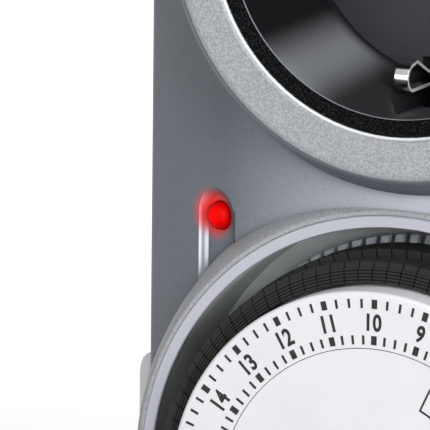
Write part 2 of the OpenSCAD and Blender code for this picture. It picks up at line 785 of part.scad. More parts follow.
// Half of a tooth's angle at radius r, for n teeth, with a share of the pitch left as backlash
function tooth_half(n, r) =
    let (pr = gear_m * n / 2, br = pr * cos(pressure), full = 90 / n * 0.86)
    full + involute(pressure) - involute(acos(min(br / max(r, br), 1)));
function gear_points(n) =
    let (pr = gear_m * n / 2, root = pr - 1.2 * gear_m, tip = pr + 0.9 * gear_m,
        rs = [root, pr - 0.45 * gear_m, pr, pr + 0.5 * gear_m, tip])
    [for (i = [0:n - 1], k = [0:9])
        let (side = k < 5 ? -1 : 1, r = rs[k < 5 ? k : 9 - k])
        polar(r, i * 360 / n + side * tooth_half(n, r))];

module gear(n) polygon(gear_points(n));

// Turn that brings a follower's teeth into the gaps of its driver, along direction a
function mesh_turn(driver_n, driver_turn, n, a) =
    a + 180 + 180 / n - (a - driver_turn) * -driver_n / n;

idler_turn = mesh_turn(drum_teeth, 0, idler_pinion_teeth, idler_angle);
motor_turn = mesh_turn(idler_wheel_teeth, 0, motor_teeth, -90);

module idler_gear() color(natural) translate([idler_x, 0, dial_z + idler_z]) difference() {
    union() {
        slab(gear_d, idler_wheel_d + 0.2) rotate(idler_turn) gear(idler_pinion_teeth);
        slab(idler_wheel_d, idler_wheel_d + idler_wheel_t) gear(idler_wheel_teeth);
        rod(idler_wheel_d, idler_wheel_d + idler_wheel_t + 0.4, idler_pin_r + 1.2);
    }
    rod(gear_d - 1, plate_d + 1, idler_pin_r + play);
}

module idler_pin() color(steel)
    rod(well_back_d - idler_pin_in, plate_back_d, idler_pin_r, idler_x, dial_z + idler_z);

module motor_pinion() color(steel) translate([motor_x, 0, dial_z + motor_z]) {
    slab(idler_wheel_d - 0.1, idler_wheel_d + idler_wheel_t + 0.1) rotate(motor_turn) gear(motor_teeth);
    rod(idler_wheel_d, plate_back_d + 4, motor_shaft_r);
}

// ---------- Mechanism ----------

module mechanism_plate() color(tin) difference() {
    slab(plate_d, plate_back_d) translate([0, dial_z]) {
        rounded_rect(-21, 24.5, -25.5, 23, 4);
    }
    rod(plate_d - 1, plate_back_d + 1, axle_r + play, 0, dial_z);
    rod(plate_d - 1, plate_back_d + 1, idler_pin_r + play, idler_x, dial_z + idler_z);
    rod(plate_d - 1, plate_back_d + 1, 3.4, motor_x, dial_z + motor_z);
    pillar_places() rod(plate_d - 1, plate_back_d + 1, screw_r + 0.2);
    ear_places() rod(plate_d - 1, plate_back_d + 1, screw_r + play);
}

ear_dist = motor_r + 3;
function ear(a) = [motor_x + ear_dist * cos(a), dial_z + motor_z + ear_dist * sin(a)];
ears = [ear(80), ear(260)];
module ear_places() for (e = ears) translate([e[0], 0, e[1]]) children();

module motor_can() color(steel) difference() {
    union() {
        rod(plate_back_d, plate_back_d + motor_h, motor_r, motor_x, dial_z + motor_z);
        slab(plate_back_d, plate_back_d + ear_t) hull() for (e = ears) translate(e) circle(3, $fn = 32);
    }
    rod(plate_back_d - 1, plate_back_d + 4.6, motor_shaft_r + play, motor_x, dial_z + motor_z);
    ear_places() rod(plate_back_d - 1, plate_back_d + 2, screw_r + 0.2);
}

ear_t = 0.8;

module mechanism_screws() color(steel) {
    pillar_places() {
        rod(plate_d - 3.5, plate_back_d + 0.1, screw_r);
        rod(plate_back_d, plate_back_d + screw_head_t, head_r);
    }
    ear_places() {
        rod(plate_d, plate_back_d + ear_t + 0.1, screw_r);
        rod(plate_back_d + ear_t, plate_back_d + ear_t + screw_head_t, head_r - 0.3);
    }
}

module housing_screws() color(steel) screw_places() {
    rod(part_d - 9, body_d - screw_head_t - screw_sink + 0.1, screw_r);
    rod(body_d - screw_head_t - screw_sink, body_d - screw_sink, head_r);
}

// ---------- Switch ----------

module trip_lever() color(natural) difference() {
    union() {
        block([nose_x - lever_w / 2, lever_d, lever_axis_z],
            [nose_x + lever_w / 2, lever_d + lever_t, nose_z + 0.6]);
        block([nose_x - 0.6, leg_end_d + 0.1, nose_z - 0.6], [nose_x + 0.6, lever_d + 0.2, nose_z + 0.6]);
        lever_bore(lever_end_r, lever_w / 2);
    }
    lever_bore(lever_pin_r + play, lever_w);
}

module lever_pin() color(steel) lever_bore(lever_pin_r, cradle_out_x);

module microswitch_case() color(charcoal) difference() {
    block([nose_x - switch_w / 2, switch_d, switch_top_z - switch_l],
        [nose_x + switch_w / 2, switch_back_d, switch_top_z]);
    rod(switch_d - 1, switch_d + 3.5, button_r + play, nose_x, button_z);
}

module microswitch_button() color("#c8402e") {
    rod(lever_d + lever_t + 0.7, switch_d + 1.6, button_r, nose_x, button_z);
    translate([nose_x, at(lever_d + lever_t + 0.7), button_z]) intersection() {
        scale(button_r) sphere(1);
        translate([-button_r, -0.55, -button_r]) cube([2 * button_r, 0.56, 2 * button_r]);
    }
}

module override_slider() color(pale) {
    out_x = -half_w - slider_out;
    low_z = slider_top_z - slider_l;
    inner_x = -half_w + wall;
    // thumb piece, rounded off towards both ends
    end_x = -half_w - slider_end_out;
    ramp_w = slider_out - slider_end_out;
    slopes = [for (a = [0:22.5:90]) [end_x - ramp_w * sin(a), slider_ramp * (1 - cos(a))]];
    translate([0, at(slider_d + slider_h), 0]) rotate([90, 0, 0]) linear_extrude(slider_h)
        polygon(concat([[-half_w - 0.1, slider_top_z]], [for (p = slopes) [p[0], slider_top_z - p[1]]],
            [for (i = [len(slopes) - 1:-1:0]) [slopes[i][0], low_z + slopes[i][1]]],
            [[-half_w - 0.1, low_z]]));
    // neck through the side, and the plate that keeps it in
    block([-half_w - 0.2, slider_d + 1.4, low_z + 1.2],
        [inner_x + 0.2, slider_d + slider_h - 1.4, slider_top_z - 1.2]);
    block([inner_x + 0.1, slider_d + 0.2, low_z - 0.5],
        [inner_x + slider_plate_t, slider_d + slider_h, slider_top_z + 0.5]);
}

// ---------- Indicator ----------

lens_t = 0.55;
lamp_end_h = lens_h + 0.6;
lamp_end_d = crown_depth(lamp_x) + (groove_h + lamp_end_h) * cos(lamp_tilt);
leg_x = (groove_h + lamp_end_h) * sin(lamp_tilt) - lamp_x;
lamp_leg_w = 0.4;
lamp_leg_gap = 0.5;

module indicator_lens() color("#f01010") difference() {
    union() {
        lamp_rod(0, lens_h, lamp_r);
        at_lamp() intersection() {
            scale(lamp_r) sphere(1);
            translate([-lamp_r, -lamp_r, -lamp_r]) cube([2 * lamp_r, lamp_r + eps, 2 * lamp_r]);
        }
    }
    lamp_rod(gap, lens_h + 1, lamp_r - lens_t);
}

// Lamp on two wire legs that go straight back to the board
module indicator_lamp() color("#ffb0a0") {
    lamp_rod(2 * gap, lamp_end_h, lamp_r - lens_t - play);
    for (x = [leg_x - lamp_leg_gap - lamp_leg_w, leg_x + lamp_leg_gap])
        block([x, lamp_end_d - 0.8, lamp_z - lamp_leg_w / 2],
            [x + lamp_leg_w, board_d, lamp_z + lamp_leg_w / 2]);
}

module lamp_board() color("#3c6e47") slab(board_d, board_d + board_t)
    rounded_rect(leg_x - 4.5, leg_x + 4.5, lamp_z - 5, lamp_z + 6, 0.8);

front_housing();
rear_housing();
bezel_ring();
socket_insert();
shutter();
shutter_spring();
contact_carrier();
live_contact();
neutral_contact();
earth_bracket();
earth_clip_upper();
earth_clip_lower();
live_pin();
neutral_pin();
live_feed_strip();
live_return_strip();
mechanism_plate();
dial_axle();
axle_clip();
dial_drum();
segment_ring();
dial_disc();
idler_pin();
idler_gear();
motor_can();
motor_pinion();
microswitch_case();
microswitch_button();
trip_lever();
lever_pin();
override_slider();
indicator_lens();
indicator_lamp();
lamp_board();
housing_screws();
mechanism_screws();
for (h = [0:hours - 1])
    segments_hour(h);
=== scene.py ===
"""Finishes, printed dial, contacts and stage for a plug-in timer switch."""

import math

import bmesh
import bpy
from bpy.props import FloatProperty, FloatVectorProperty, IntProperty, PointerProperty
from mathutils import Matrix, Vector


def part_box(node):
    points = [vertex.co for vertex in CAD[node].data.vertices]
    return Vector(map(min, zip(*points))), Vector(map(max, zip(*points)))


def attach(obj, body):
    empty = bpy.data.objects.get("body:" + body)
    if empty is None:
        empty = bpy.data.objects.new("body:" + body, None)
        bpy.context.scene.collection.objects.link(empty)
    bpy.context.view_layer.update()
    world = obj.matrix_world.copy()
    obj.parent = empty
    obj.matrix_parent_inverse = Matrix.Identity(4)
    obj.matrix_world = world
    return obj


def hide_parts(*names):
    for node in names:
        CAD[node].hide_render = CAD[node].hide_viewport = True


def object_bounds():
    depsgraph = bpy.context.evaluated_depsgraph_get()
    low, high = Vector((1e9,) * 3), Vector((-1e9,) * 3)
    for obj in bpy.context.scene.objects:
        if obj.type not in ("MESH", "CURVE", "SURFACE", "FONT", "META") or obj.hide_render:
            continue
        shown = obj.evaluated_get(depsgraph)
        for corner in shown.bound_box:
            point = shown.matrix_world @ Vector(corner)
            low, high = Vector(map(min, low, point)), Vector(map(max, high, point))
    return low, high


bl_info = {
    "name": "Plug-in Timer Switch",
    "version": (1, 0, 0),
    "blender": (4, 5, 0),
    "location": "3D Viewport > Sidebar > Timer Switch",
    "description": "Finishes, printed dial, contacts and stage for a plug-in timer switch",
    "category": "Object",
}

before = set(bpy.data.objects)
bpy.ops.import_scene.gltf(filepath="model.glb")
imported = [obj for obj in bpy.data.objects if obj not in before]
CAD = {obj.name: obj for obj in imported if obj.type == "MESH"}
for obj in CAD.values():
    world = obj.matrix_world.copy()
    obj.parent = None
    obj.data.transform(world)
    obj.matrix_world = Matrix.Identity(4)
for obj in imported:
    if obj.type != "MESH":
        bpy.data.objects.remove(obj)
CAD_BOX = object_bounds()

MM = 0.001


def node_span(name, axis):
    """Lowest and highest place of a CAD node along an axis, in millimetres."""
    low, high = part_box(name)
    return low[axis] / MM, high[axis] / MM


def half_span(name, axis):
    """Half of a CAD node's size along an axis, in millimetres."""
    low, high = node_span(name, axis)
    return (high - low) / 2


# Where the CAD has the dial, the indicator and the socket's insert, in millimetres
FACE_Y = node_span("dial_disc", 1)[0]
DIAL_Z = sum(node_span("dial_disc", 2)) / 2
DISC_R = half_span("dial_disc", 0)
LENS_Z = sum(node_span("indicator_lens", 2)) / 2
LENS_R = half_span("indicator_lens", 2)
LENS_X = node_span("indicator_lens", 0)[0] + LENS_R
LENS_Y = node_span("indicator_lens", 1)[0] + LENS_R
BEZEL_Y = node_span("bezel_ring", 1)[0]
BEZEL_R = half_span("bezel_ring", 0)
INSERT_Y = node_span("socket_insert", 1)[0]
FLOOR_Z = CAD_BOX[0][2] / MM

# The crown of the housing's front: how far behind the dial's face it starts, and its radius
CROWN_D = 7.6
CROWN_R = 62
# What counts as on it: a vertex this near, in millimetres, and a face this much alike, as a cosine
CROWN_NEAR = 0.02
CROWN_ALIKE = 0.985
# Radius of the socket collar's opening, which the insert fills
RECESS_EDGE_R = 21.4
# The groove under the indicator, from the lens's middle: its sharp right edge, the middle of its
# left wall, the middle and half length of its straight part, and half its depth
GROOVE_EDGE_X = 2.48
GROOVE_WALL_X = -2.5
GROOVE_MIDDLE_Z = -8
GROOVE_REACH = 9
GROOVE_DEPTH = 3
# Thickness of the print on the dial, and how near vertices of the CAD are that become one
PRINT = 0.03
WELD = 0.002
# Faces that meet at less than this angle, in degrees, are shaded as one surface
SMOOTH_ANGLE = 28


def linear(code):
    """An sRGB hex code as linear red, green and blue, with full alpha."""
    parts = [int(code[i : i + 2], 16) / 255 for i in (1, 3, 5)]
    return (*(c / 12.92 if c <= 0.04045 else ((c + 0.055) / 1.055) ** 2.4 for c in parts), 1.0)


# ---------------------------------------------------------------- settings


def colour_setting(name, code, description):
    return FloatVectorProperty(
        name=name, description=description, subtype="COLOR", size=4, min=0, max=1, default=linear(code)
    )


def length_setting(name, millimetres, description):
    return FloatProperty(
        name=name, description=description, default=millimetres * MM, min=0, precision=5, unit="LENGTH"
    )


def angle_setting(name, degrees, description):
    return FloatProperty(name=name, description=description, default=math.radians(degrees), subtype="ANGLE")


def power_setting(name, watts, description):
    return FloatProperty(name=name, description=description, default=watts, min=0, unit="POWER")


class TimerShellSettings(bpy.types.PropertyGroup):
    # the lacquer's tones face on and aslant, between which its painted sheen runs
    lacquer: colour_setting("Lacquer", "#c1c4ce", "Silver lacquer of the housing, seen face on")
    lacquer_dark: colour_setting("Lacquer shade", "#646a72", "Silver lacquer of the housing, seen aslant")
    collar: colour_setting("Collar", "#abaeb1", "Grained faces of the two collars")
    collar_dark: colour_setting("Collar shade", "#85898c", "Hollows in the collars' grain")
    bezel: colour_setting("Bezel", "#b0b2bb", "Silver of the ring round the dial")
    well: colour_setting("Well", "#b4bdb9", "Wall of the dial's well, inside the ring")
    slider: colour_setting("Slider", "#f2f5f4", "Override slider on the side")
    grain: length_setting("Grain", 0.22, "Size of the flakes in the lacquer")


class TimerDialSettings(bpy.types.PropertyGroup):
    disc: colour_setting("Disc", "#dfdfe2", "Moulded disc")
    ink: colour_setting("Ink", "#2e2a2a", "Print on the disc")
    segment: colour_setting("Segments", "#1d1c1c", "Black segments and their ring")
    drum: colour_setting("Drum", "#cbd0d6", "Drum under the segments")
    numeral_height: length_setting("Numeral height", 1.96, "Height of an hour's number")
    numeral_radius: length_setting("Numeral radius", 20.97, "Radius through the middle of the numbers")
    outer_tick: length_setting("Outer tick radius", 22.5, "Inner end of the outer ticks")
    inner_tick: length_setting("Inner tick radius", 18.5, "Inner end of the inner ticks")
    tick_length: length_setting("Tick length", 1.0, "Length of a tick")
    hour_tick: length_setting("Hour tick width", 0.65, "Width of a tick at a full hour")
    quarter_tick: length_setting("Quarter tick width", 0.28, "Width of a tick at a quarter hour")
    top_hour: IntProperty(
        name="Hour at the top", description="Hour printed at the top of the dial", default=10
    )


class TimerSocketSettings(bpy.types.PropertyGroup):
    insert: colour_setting("Insert", "#34373b", "Dark moulding of the recess")
    # a colour for the painted sheen on the recess's wall
    sheen: colour_setting("Sheen", "#74777a", "Sheen of the recess's wall")
    rim: colour_setting("Rim", "#050606", "Textured rim of the recess")
    nickel: colour_setting("Nickel", "#c9c9c7", "Plated contact strip")
    brass: colour_setting("Brass", "#c29a52", "Pressed contact strip")


class TimerLampSettings(bpy.types.PropertyGroup):
    lens: colour_setting("Lens", "#c80404", "Red lens of the indicator")
    glow: colour_setting("Glow", "#ff0505", "Light of the indicator")
    glow_reach: length_setting("Glow reach", 3.6, "How far the indicator lights the housing")
    glow_strength: FloatProperty(
        name="Glow strength", description="Light on the housing next to the lens", default=0.45, min=0
    )


class TimerStageSettings(bpy.types.PropertyGroup):
    azimuth: angle_setting("Azimuth", 25.29, "Camera's turn to the right of the front")
    elevation: angle_setting("Elevation", 11.65, "Camera's height above level")
    roll: angle_setting("Roll", 0.61, "Camera's tilt")
    distance: length_setting("Distance", 706.42, "Camera's distance from what it looks at")
    target: FloatVectorProperty(
        name="Target", description="Point that the camera looks at", subtype="TRANSLATION", size=3,
        default=(-19.023 * MM, -62.0 * MM, -31.066 * MM),
    )
    lens: FloatProperty(name="Lens", description="Focal length", default=546.2, min=1, unit="CAMERA")
    floor: colour_setting("Floor", "#a8a8a8", "Floor under the object")
    key: power_setting("Key lamp", 14.3, "Power of the key lamp")
    top: power_setting("Top lamp", 6.2, "Power of the overhead lamp")
    fill: power_setting("Fill lamp", 3.4, "Power of the fill lamp")
    rear: power_setting("Rear lamp", 6.5, "Power of the lamp behind")


# ---------------------------------------------------------------- materials


def add(tree, kind, links=None, **settings):
    """Adds a shader node, with its settings, and sets or links its inputs."""
    made = tree.nodes.new("ShaderNode" + kind)
    for name, value in settings.items():
        setattr(made, name, value)
    for key, value in (links or {}).items():
        if isinstance(value, bpy.types.NodeSocket):
            tree.links.new(value, made.inputs[key])
        else:
            made.inputs[key].default_value = value
    return made


def emptied_tree(block):
    """The node tree of a new material or world, without what Blender puts in it."""
    block.use_nodes = True
    block.node_tree.nodes.clear()
    return block.node_tree


def start_finish(name, **plain):
    """A new material: its tree, its shader with plain values set, and the place in millimetres."""
    material = bpy.data.materials.new(name)
    tree = emptied_tree(material)
    shader = add(tree, "BsdfPrincipled", {key.replace("_", " "): value for key, value in plain.items()})
    add(tree, "OutputMaterial", {"Surface": shader.outputs[0]})
    spot = add(tree, "TexCoord").outputs["Object"]
    place = add(tree, "VectorMath", {0: spot, "Scale": 1 / MM}, operation="SCALE").outputs[0]
    return material, tree, shader, place


def feed(tree, shader, **sockets):
    """Links outputs to a shader's inputs, which are named with _ for a space."""
    for name, output in sockets.items():
        tree.links.new(output, shader.inputs[name.replace("_", " ")])


def speckle(tree, place, size, low, high, detail=2.0, stretch=None):
    """Noise with lumps of a size in millimetres, spread between two values."""
    if stretch:
        place = add(tree, "VectorMath", {0: place, 1: stretch}, operation="MULTIPLY").outputs[0]
    noise = add(tree, "TexNoise", {"Vector": place, "Scale": 1 / size, "Detail": detail}).outputs[0]
    # most of the noise lies between 0.3 and 0.7
    spread = {"Value": noise, "From Min": 0.3, "From Max": 0.7, "To Min": low, "To Max": high}
    return add(tree, "MapRange", spread).outputs[0]


def surface(tree, shader, height, depth, edge=0.0):
    """Relief of a depth in millimetres on a shader, over edges rounded to a radius in millimetres."""
    links = {"Height": height, "Distance": depth * MM}
    if edge:
        links["Normal"] = add(tree, "Bevel", {"Radius": edge * MM}, samples=6).outputs[0]
    feed(tree, shader, Normal=add(tree, "Bump", links).outputs[0])


def depth_mask(tree, place, start, end):
    """0 in front of one place along Y and 1 behind another, in millimetres."""
    along = add(tree, "SeparateXYZ", {0: place}).outputs["Y"]
    return add(tree, "MapRange", {"Value": along, "From Min": start, "From Max": end}).outputs[0]


def radius_mask(tree, place, start, end):
    """0 outside one radius about the socket's axis and 1 inside another, in millimetres."""
    flat = add(tree, "VectorMath", {0: place, 1: (1, 0, 1)}, operation="MULTIPLY").outputs[0]
    away = add(tree, "VectorMath", {0: flat}, operation="LENGTH").outputs["Value"]
    return add(tree, "MapRange", {"Value": away, "From Min": start, "From Max": end}).outputs[0]


def band_mask(tree, value, middle, reach, soft=0.02):
    """1 within a reach of a place, in millimetres, and 0 just outside it."""
    away = add(tree, "Math", {0: value, 1: middle}, operation="SUBTRACT").outputs[0]
    away = add(tree, "Math", {0: away}, operation="ABSOLUTE").outputs[0]
    limits = {"Value": away, "From Min": reach + soft, "From Max": reach - soft}
    return add(tree, "MapRange", limits).outputs[0]


def silver_lacquer(name, shell, lamp, aslant_tone, face_tone):
    """Metallic lacquer sprayed on ABS: its flakes lie flat, so it is light face on and dark aslant, as a
    sheen painted into its colour.
    """
    material, tree, shader, place = start_finish(name, Metallic=0.12, IOR=1.5)
    # real flakes, of about 0.05 mm, would not show, so they are drawn coarser
    grain = shell.grain / MM
    flakes = speckle(tree, place, grain, 0, 1, 3)
    # painted sheen: the colour is lighter where the surface faces the viewer, for the light that the flakes
    # send back
    aslant = add(tree, "LayerWeight", {"Blend": 0.5}).outputs["Facing"]
    flop_sheen = add(tree, "MapRange", {"Value": aslant, "From Min": 0.34, "From Max": 0.02}).outputs[0]
    speckled = add(tree, "MapRange", {"Value": flakes, "To Min": -0.07, "To Max": 0.07}).outputs[0]
    level = add(tree, "Math", {0: flop_sheen, 1: speckled}, operation="ADD", use_clamp=True).outputs[0]
    colour = add(tree, "Mix", {0: level, 6: aslant_tone, 7: face_tone}, data_type="RGBA").outputs[2]
    # painted shade: the colour is darker and less glossy in creases, found by ambient occlusion, where shade
    # falls
    opened = add(tree, "AmbientOcclusion", {"Distance": 1.2 * MM}, samples=8).outputs["AO"]
    crease_shade_mask = add(tree, "MapRange", {"Value": opened, "From Min": 0.35, "From Max": 0.95}).outputs[0]
    colour = add(tree, "Mix", {0: crease_shade_mask, 6: linear("#2c2f33"), 7: colour}, data_type="RGBA").outputs[2]
    # painted shadow: a dark line along the sharp right edge of the indicator's groove
    apart = add(tree, "SeparateXYZ", {0: place}).outputs
    below = band_mask(tree, apart["Z"], LENS_Z + GROOVE_MIDDLE_Z, GROOVE_REACH)
    before = band_mask(tree, apart["Y"], LENS_Y, GROOVE_DEPTH)
    groove = add(tree, "Math", {0: below, 1: before}, operation="MULTIPLY").outputs[0]
    edge = band_mask(tree, apart["X"], LENS_X + GROOVE_EDGE_X, 0.12)
    edge = add(tree, "Math", {0: edge, 1: groove}, operation="MULTIPLY").outputs[0]
    colour = add(tree, "Mix", {0: edge, 6: colour, 7: linear("#2b2e33")}, data_type="RGBA").outputs[2]
    # painted highlights: the groove's left wall is painted darker along its middle, so that its two edges
    # show as lines of light
    wall_middle_shade = band_mask(tree, apart["X"], LENS_X + GROOVE_WALL_X, 0.19, 0.09)
    wall_middle_shade = add(tree, "Math", {0: wall_middle_shade, 1: groove}, operation="MULTIPLY").outputs[0]
    colour = add(tree, "Mix", {0: wall_middle_shade, 6: colour, 7: linear("#9095a0")}, data_type="RGBA").outputs[2]
    # light of the indicator on the lacquer, mostly on the side that it leans to
    centre = (LENS_X - 1.1, LENS_Y, LENS_Z)
    away = add(tree, "VectorMath", {0: place, 1: centre}, operation="DISTANCE").outputs["Value"]
    reach = {"From Min": LENS_R * 0.5, "From Max": lamp.glow_reach / MM, "To Min": 1, "To Max": 0}
    near = {"Value": away, **reach}
    near = add(tree, "MapRange", near, interpolation_type="SMOOTHERSTEP").outputs[0]
    colour = add(tree, "Mix", {0: near, 6: colour, 7: linear("#b01010")}, data_type="RGBA").outputs[2]
    shader.inputs["Emission Color"].default_value = lamp.glow
    glow = add(tree, "Math", {0: near, 1: lamp.glow_strength}, operation="MULTIPLY").outputs[0]
    feed(
        tree, shader, Base_Color=colour, Emission_Strength=glow,
        Roughness=speckle(tree, place, grain * 1.6, 0.44, 0.54),
        Specular_IOR_Level=add(tree, "Mix", {0: crease_shade_mask, 2: 0.05, 3: 0.5}).outputs[0],
    )
    surface(tree, shader, flakes, 0.008, 0.1)
    return material


def grained_collar(shell):
    """The same lacquer over a spark-eroded grain: lighter and more matt than the plain shell."""
    material, tree, shader, place = start_finish("silver_lacquer_on_grain", Metallic=0.1, IOR=1.5)
    grain = speckle(tree, place, shell.grain / MM, 0, 1, 2)
    colour = add(tree, "Mix", {0: grain, 6: shell.collar_dark, 7: shell.collar}, data_type="RGBA").outputs[2]
    # painted highlight: the edge round the recess is painted near white, as a line of light
    edge_highlight = radius_mask(tree, place, RECESS_EDGE_R + 0.27, RECESS_EDGE_R + 0.17)
    colour = add(tree, "Mix", {0: edge_highlight, 6: colour, 7: linear("#f0f1f3")}, data_type="RGBA").outputs[2]
    feed(tree, shader, Base_Color=colour, Roughness=speckle(tree, place, 1.5, 0.5, 0.6))
    surface(tree, shader, grain, 0.02, 0.1)
    return material


def satin_bezel(shell):
    """Smooth silver lacquer on the ring's front, and the bare dark moulding on its inner wall, with painted
    shade and light.
    """
    material, tree, shader, place = start_finish("satin_silver_ring", IOR=1.5)
    tones = {0: speckle(tree, place, 4, 0, 0.2), 6: shell.bezel, 7: linear("#a9acb6")}
    front = add(tree, "Mix", tones, data_type="RGBA").outputs[2]
    tones = {0: speckle(tree, place, 6, 0, 1), 6: shell.well, 7: linear("#a8b1ad")}
    inner = add(tree, "Mix", tones, data_type="RGBA").outputs[2]
    # painted shade and light: the wall is brown-black just behind the ring's front edge, but not near the
    # top, and painted lighter deeper in, where shade falls
    edge_shade_mask = depth_mask(tree, place, BEZEL_Y + 0.3, BEZEL_Y + 3.5)
    inner = add(tree, "Mix", {0: edge_shade_mask, 6: linear("#45433f"), 7: inner}, data_type="RGBA").outputs[2]
    # painted light: the wall is painted lighter towards the top, where it faces down, away from the lamps
    height = add(tree, "SeparateXYZ", {0: place}).outputs["Z"]
    top = {"Value": height, "From Min": DIAL_Z + 15, "From Max": DIAL_Z + 27}
    top = add(tree, "MapRange", top).outputs[0]
    inner = add(tree, "Mix", {0: top, 6: inner, 7: linear("#dfe6e6")}, data_type="RGBA").outputs[2]
    back = depth_mask(tree, place, BEZEL_Y + 0.14, BEZEL_Y + 0.2)
    feed(
        tree, shader,
        Base_Color=add(tree, "Mix", {0: back, 6: front, 7: inner}, data_type="RGBA").outputs[2],
        Metallic=add(tree, "Mix", {0: back, 2: 0.2, 3: 0.0}).outputs[0],
        Roughness=add(tree, "Mix", {0: back, 2: 0.42, 3: 0.5}).outputs[0],
    )
    return material


def gloss_abs(socket):
    """Dark ABS: a polished recess with a painted sheen, and a spark-eroded black texture on its rim, which
    takes no light.
    """
    material, tree, shader, place = start_finish("dark_abs", IOR=1.5)
    tones = {0: speckle(tree, place, 3, 0, 0.35), 6: socket.insert, 7: linear("#2f3236")}
    floor = add(tree, "Mix", tones, data_type="RGBA").outputs[2]
    # painted sheen: a soft light band along the wall, low on the left
    apart = add(tree, "SeparateXYZ", {0: place}).outputs
    around = add(tree, "Math", {0: apart["Z"], 1: apart["X"]}, operation="ARCTAN2").outputs[0]
    off = add(tree, "Math", {0: around, 1: math.radians(-126.5)}, operation="SUBTRACT").outputs[0]
    off = add(tree, "Math", {0: off}, operation="ABSOLUTE").outputs[0]
    sheen = {"Value": off, "From Min": math.radians(18), "From Max": math.radians(1)}
    sheen = add(tree, "MapRange", sheen, interpolation_type="SMOOTHSTEP").outputs[0]
    # painted shade: the wall is darker to the left of the band than below it
    dusk = {"Value": around, "From Min": math.radians(-145), "From Max": math.radians(-112)}
    dusk = add(tree, "MapRange", dusk).outputs[0]
    tones = {0: dusk, 6: linear("#0e1011"), 7: linear("#282a2b")}
    side = add(tree, "Mix", tones, data_type="RGBA").outputs[2]
    side = add(tree, "Mix", {0: sheen, 6: side, 7: socket.sheen}, data_type="RGBA").outputs[2]
    # the floor faces along Y, and the wall does not
    facing = add(tree, "SeparateXYZ", {0: add(tree, "TexCoord").outputs["Normal"]}).outputs["Y"]
    facing = add(tree, "Math", {0: facing}, operation="ABSOLUTE").outputs[0]
    upright = add(tree, "MapRange", {"Value": facing, "From Min": 0.6, "From Max": 0.3}).outputs[0]
    plain = add(tree, "Mix", {0: upright, 6: floor, 7: side}, data_type="RGBA").outputs[2]
    # real sparks leave pits of about 0.05 mm, drawn coarser so that they show
    fine = speckle(tree, place, 0.2, -1, 1, 2)
    edge = add(tree, "Mix", {0: fine, 6: socket.rim, 7: linear("#2a2c2e")}, data_type="RGBA").outputs[2]
    # painted highlight: the rim's inner edge is painted as a fine light line
    behind = depth_mask(tree, place, INSERT_Y + 0.2, INSERT_Y + 0.26)
    inside = radius_mask(tree, place, RECESS_EDGE_R - 1.2, RECESS_EDGE_R - 1.6)
    rim_highlight = add(tree, "Math", {0: behind, 1: inside}, operation="MULTIPLY").outputs[0]
    edge = add(tree, "Mix", {0: rim_highlight, 6: edge, 7: linear("#8a8e92")}, data_type="RGBA").outputs[2]
    wall = depth_mask(tree, place, INSERT_Y + 0.33, INSERT_Y + 0.37)
    feed(
        tree, shader,
        Base_Color=add(tree, "Mix", {0: wall, 6: edge, 7: plain}, data_type="RGBA").outputs[2],
        Specular_IOR_Level=add(tree, "Mix", {0: wall, 2: 0.03, 3: 0.2}).outputs[0],
        Roughness=add(tree, "Mix", {0: wall, 2: 0.6, 3: 0.42}).outputs[0],
    )
    rim = add(tree, "Math", {0: 1.0, 1: wall}, operation="SUBTRACT").outputs[0]
    pits = add(tree, "Math", {0: fine, 1: rim}, operation="MULTIPLY").outputs[0]
    surface(tree, shader, pits, 0.02, 0.15)
    return material


def moulded(name, colour, shade, rough=0.42, grain=0.25, depth=0.006, edge=0.1, **plain):
    """Moulded thermoplastic: slight clouding, and a tool texture drawn coarser than real, to show."""
    material, tree, shader, place = start_finish(name, IOR=1.5, **plain)
    tones = {0: speckle(tree, place, 5, 0, 1), 6: colour, 7: shade}
    feed(
        tree, shader,
        Base_Color=add(tree, "Mix", tones, data_type="RGBA").outputs[2],
        Roughness=speckle(tree, place, 1.2, rough - 0.05, rough + 0.05),
    )
    surface(tree, shader, speckle(tree, place, grain, 0, 1), depth, edge)
    return material


def metal(name, colour, shade, rough=0.22, streak=(1, 1, 1), metallic=1.0):
    """Bare or plated metal: tarnish in patches, and tool marks along it, drawn coarser than real."""
    material, tree, shader, place = start_finish(name, Metallic=metallic)
    tones = {0: speckle(tree, place, 3, 0, 0.7), 6: colour, 7: shade}
    marks = speckle(tree, place, 0.12, 0, 1, 2, streak)
    spread = {"Value": marks, "To Min": max(rough - 0.07, 0.03), "To Max": rough + 0.07}
    feed(
        tree, shader,
        Base_Color=add(tree, "Mix", tones, data_type="RGBA").outputs[2],
        Roughness=add(tree, "MapRange", spread).outputs[0],
    )
    surface(tree, shader, marks, 0.002, 0.12)
    return material


def lens_red(lamp):
    """Tinted acrylic over a lit lamp: deep red, brightest over the lamp and dim towards its rim."""
    material, tree, shader, place = start_finish(
        "tinted_acrylic_lens", IOR=1.49, Roughness=0.45, Specular_IOR_Level=0.05
    )
    centre = (LENS_X - 0.45, LENS_Y - 1.0, LENS_Z)
    away = add(tree, "VectorMath", {0: place, 1: centre}, operation="DISTANCE").outputs["Value"]
    middle = {"Value": away, "From Min": 0.5, "From Max": LENS_R * 1.35, "To Min": 1, "To Max": 0}
    middle = add(tree, "MapRange", middle).outputs[0]
    mottle = speckle(tree, place, 1.1, 0.62, 1.25)
    body = add(tree, "Math", {0: middle, 1: mottle}, operation="MULTIPLY").outputs[0]
    rim = add(tree, "LayerWeight", {"Blend": 0.5}).outputs["Facing"]
    clear = {"Value": rim, "From Min": 0.7, "From Max": 0.3, "To Min": 0.2}
    clear = add(tree, "MapRange", clear).outputs[0]
    body = add(tree, "Math", {0: body, 1: clear}, operation="MULTIPLY").outputs[0]
    shader.inputs["Emission Color"].default_value = lamp.glow
    tones = {0: body, 6: linear("#950000"), 7: lamp.lens}
    feed(
        tree, shader,
        Base_Color=add(tree, "Mix", tones, data_type="RGBA").outputs[2],
        Emission_Strength=add(tree, "MapRange", {"Value": body, "To Min": 0.03, "To Max": 0.62}).outputs[0],
    )
    return material


